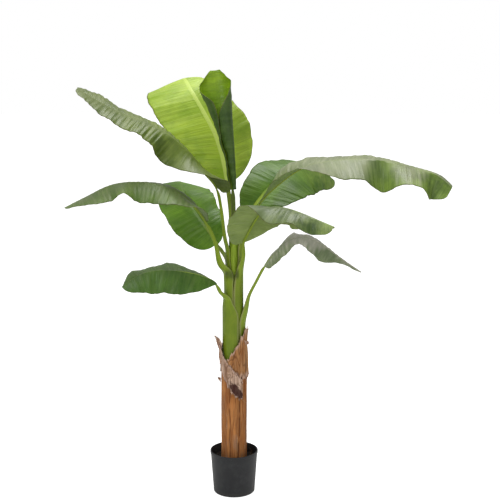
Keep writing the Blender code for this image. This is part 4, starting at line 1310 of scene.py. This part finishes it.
def add_flaps(finish):
    """Small ragged scraps of husk that stand off the trunk."""
    for number, corners in enumerate(FLAPS):
        foot, foot_end, tip, tip_end = (np.array(corner) for corner in corners)
        across = np.linspace(0, 1, FLAP_GRID[0])[:, None, None]
        along = np.linspace(0, 1, FLAP_GRID[1])[None, :, None]
        ragged = np.array([noise.fractal(Vector((9 * value, number, 7)), 1.0, 2.0, 4)
                           for value in across[:, 0, 0]])[:, None, None]
        reach = along * (1 + FLAP_RAG * ragged)
        bulge = np.array([[noise.noise(Vector((3 * a, 3 * b, number + 2))) for b in along[0, :, 0]]
                          for a in across[:, 0, 0]])[:, :, None]
        base = foot + (foot_end - foot) * across
        points = base + (tip + (tip_end - tip) * across - base) * reach
        points = points + np.array([0, -1, 0.3]) * FLAP_BULGE * bulge * along
        flap = thin_sheet(f"husk_scrap_{number}", points, across[:, 0, 0], along[0, :, 0],
                          FLAP_THICK, [finish, finish])
        settle(flap, "husk")


def add_straw():
    """A few pale fibres standing in the pot beside the trunk."""
    bm = bmesh.new()
    for line, thick in STRAWS:
        curve, _, _ = smooth_line(line, unit(np.array(line[1]) - np.array(line[0])))
        strand(bm, curve[::12], thick)
    settle(place_object("straw_fibres", close_strands(bm), [STRAW]), "filling")


def soft_light(name, place, aim, size, power):
    """A large soft studio light aimed at a point."""
    data = bpy.data.lights.new(name, "AREA")
    data.shape = "DISK"
    data.size = size
    data.energy = power
    made = bpy.data.objects.new(name, data)
    made.location = place
    made.rotation_euler = (Vector(aim) - Vector(place)).to_track_quat("-Z", "Y").to_euler()
    bpy.context.collection.objects.link(made)


def add_studio():
    """A pale floor, a white surround, soft lights and the camera."""
    floor_bm = bmesh.new()
    bmesh.ops.create_grid(floor_bm, x_segments=1, y_segments=1, size=FLOOR_SIZE)
    for vert in floor_bm.verts:
        vert.co.z = -FLOOR_DROP
    pale, tree, shader = new_material("studio_floor", 0.9)
    shader.inputs["Base Color"].default_value = (0.9, 0.9, 0.9, 1)
    shader.inputs["Emission Color"].default_value = (1, 1, 1, 1)
    light_path = add_node(tree, "LightPath")
    glow = times(tree, light_path.outputs["Is Camera Ray"], FLOOR_GLOW)
    tree.links.new(glow, shader.inputs["Emission Strength"])
    place_object("studio_floor", floor_bm, [pale])
    world = bpy.data.worlds.new("studio")
    world.use_nodes = True
    bpy.context.scene.world = world
    back = world.node_tree.nodes["Background"]
    back.inputs[0].default_value = (1, 1, 1, 1)
    seen = add_node(world.node_tree, "LightPath").outputs["Is Camera Ray"]
    dimmed = reckon(world.node_tree, "MULTIPLY", seen, 1 - SURROUND)
    world.node_tree.links.new(reckon(world.node_tree, "ADD", dimmed, SURROUND), back.inputs[1])
    for name, light in LIGHTS.items():
        soft_light(name, *light)
    data = bpy.data.cameras.new("camera")
    data.lens = LENS
    data.sensor_width = SENSOR
    camera = bpy.data.objects.new("camera", data)
    camera.location = CAMERA_PLACE
    camera.rotation_euler = (math.radians(90 - CAMERA_DIP), 0, 0)
    bpy.context.collection.objects.link(camera)
    bpy.context.scene.camera = camera
    bpy.context.scene.view_settings.view_transform = "Standard"


LEAF_GRAIN = leaf_grain()
DRY_FIBRE = dry_fibre()
STRAW = straw_finish()
STALKS = {
    "stalk_plain": stalk_finish("stalk_green", paint(118, 140, 36), paint(140, 166, 44),
                                paint(150, 172, 52), paint(110, 100, 52)),
    "stalk_dark": stalk_finish("stalk_dark", paint(110, 134, 44), paint(74, 100, 42),
                               paint(60, 86, 38), paint(60, 66, 34)),
    "stalk_lime": stalk_finish("stalk_lime", paint(134, 160, 40), paint(152, 180, 48),
                               paint(168, 196, 62), paint(118, 112, 52)),
}


def main():
    """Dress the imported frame."""
    for number, plan in LEAVES.items():
        add_leaf(number, plan)
    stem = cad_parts["stem"]
    stem.data.materials.clear()
    stem.data.materials.append(stem_finish())
    add_pot(pot_finish())
    soil = soil_finish("soil", paint(26, 22, 18), paint(52, 42, 34))
    add_filling(soil)
    add_crumbs(soil)
    add_bark(bark_finish())
    add_bark_fibres(STRAW)
    finishes = {
        "husk_left": husk_finish("husk_beige", 3.0, paint(230, 198, 176), paint(196, 154, 126),
                                 stain=True),
        "husk_right": husk_finish("husk_golden", 8.0, paint(222, 168, 112), paint(180, 118, 64)),
        "husk_back": husk_finish("husk_brown", 14.0, paint(178, 136, 100), paint(140, 98, 68)),
    }
    for seed, (name, husk) in enumerate(HUSKS.items()):
        add_husk(name, seed + 2, finishes[name], **husk)
    add_flaps(finishes["husk_left"])
    add_straw()
    add_studio()


main()
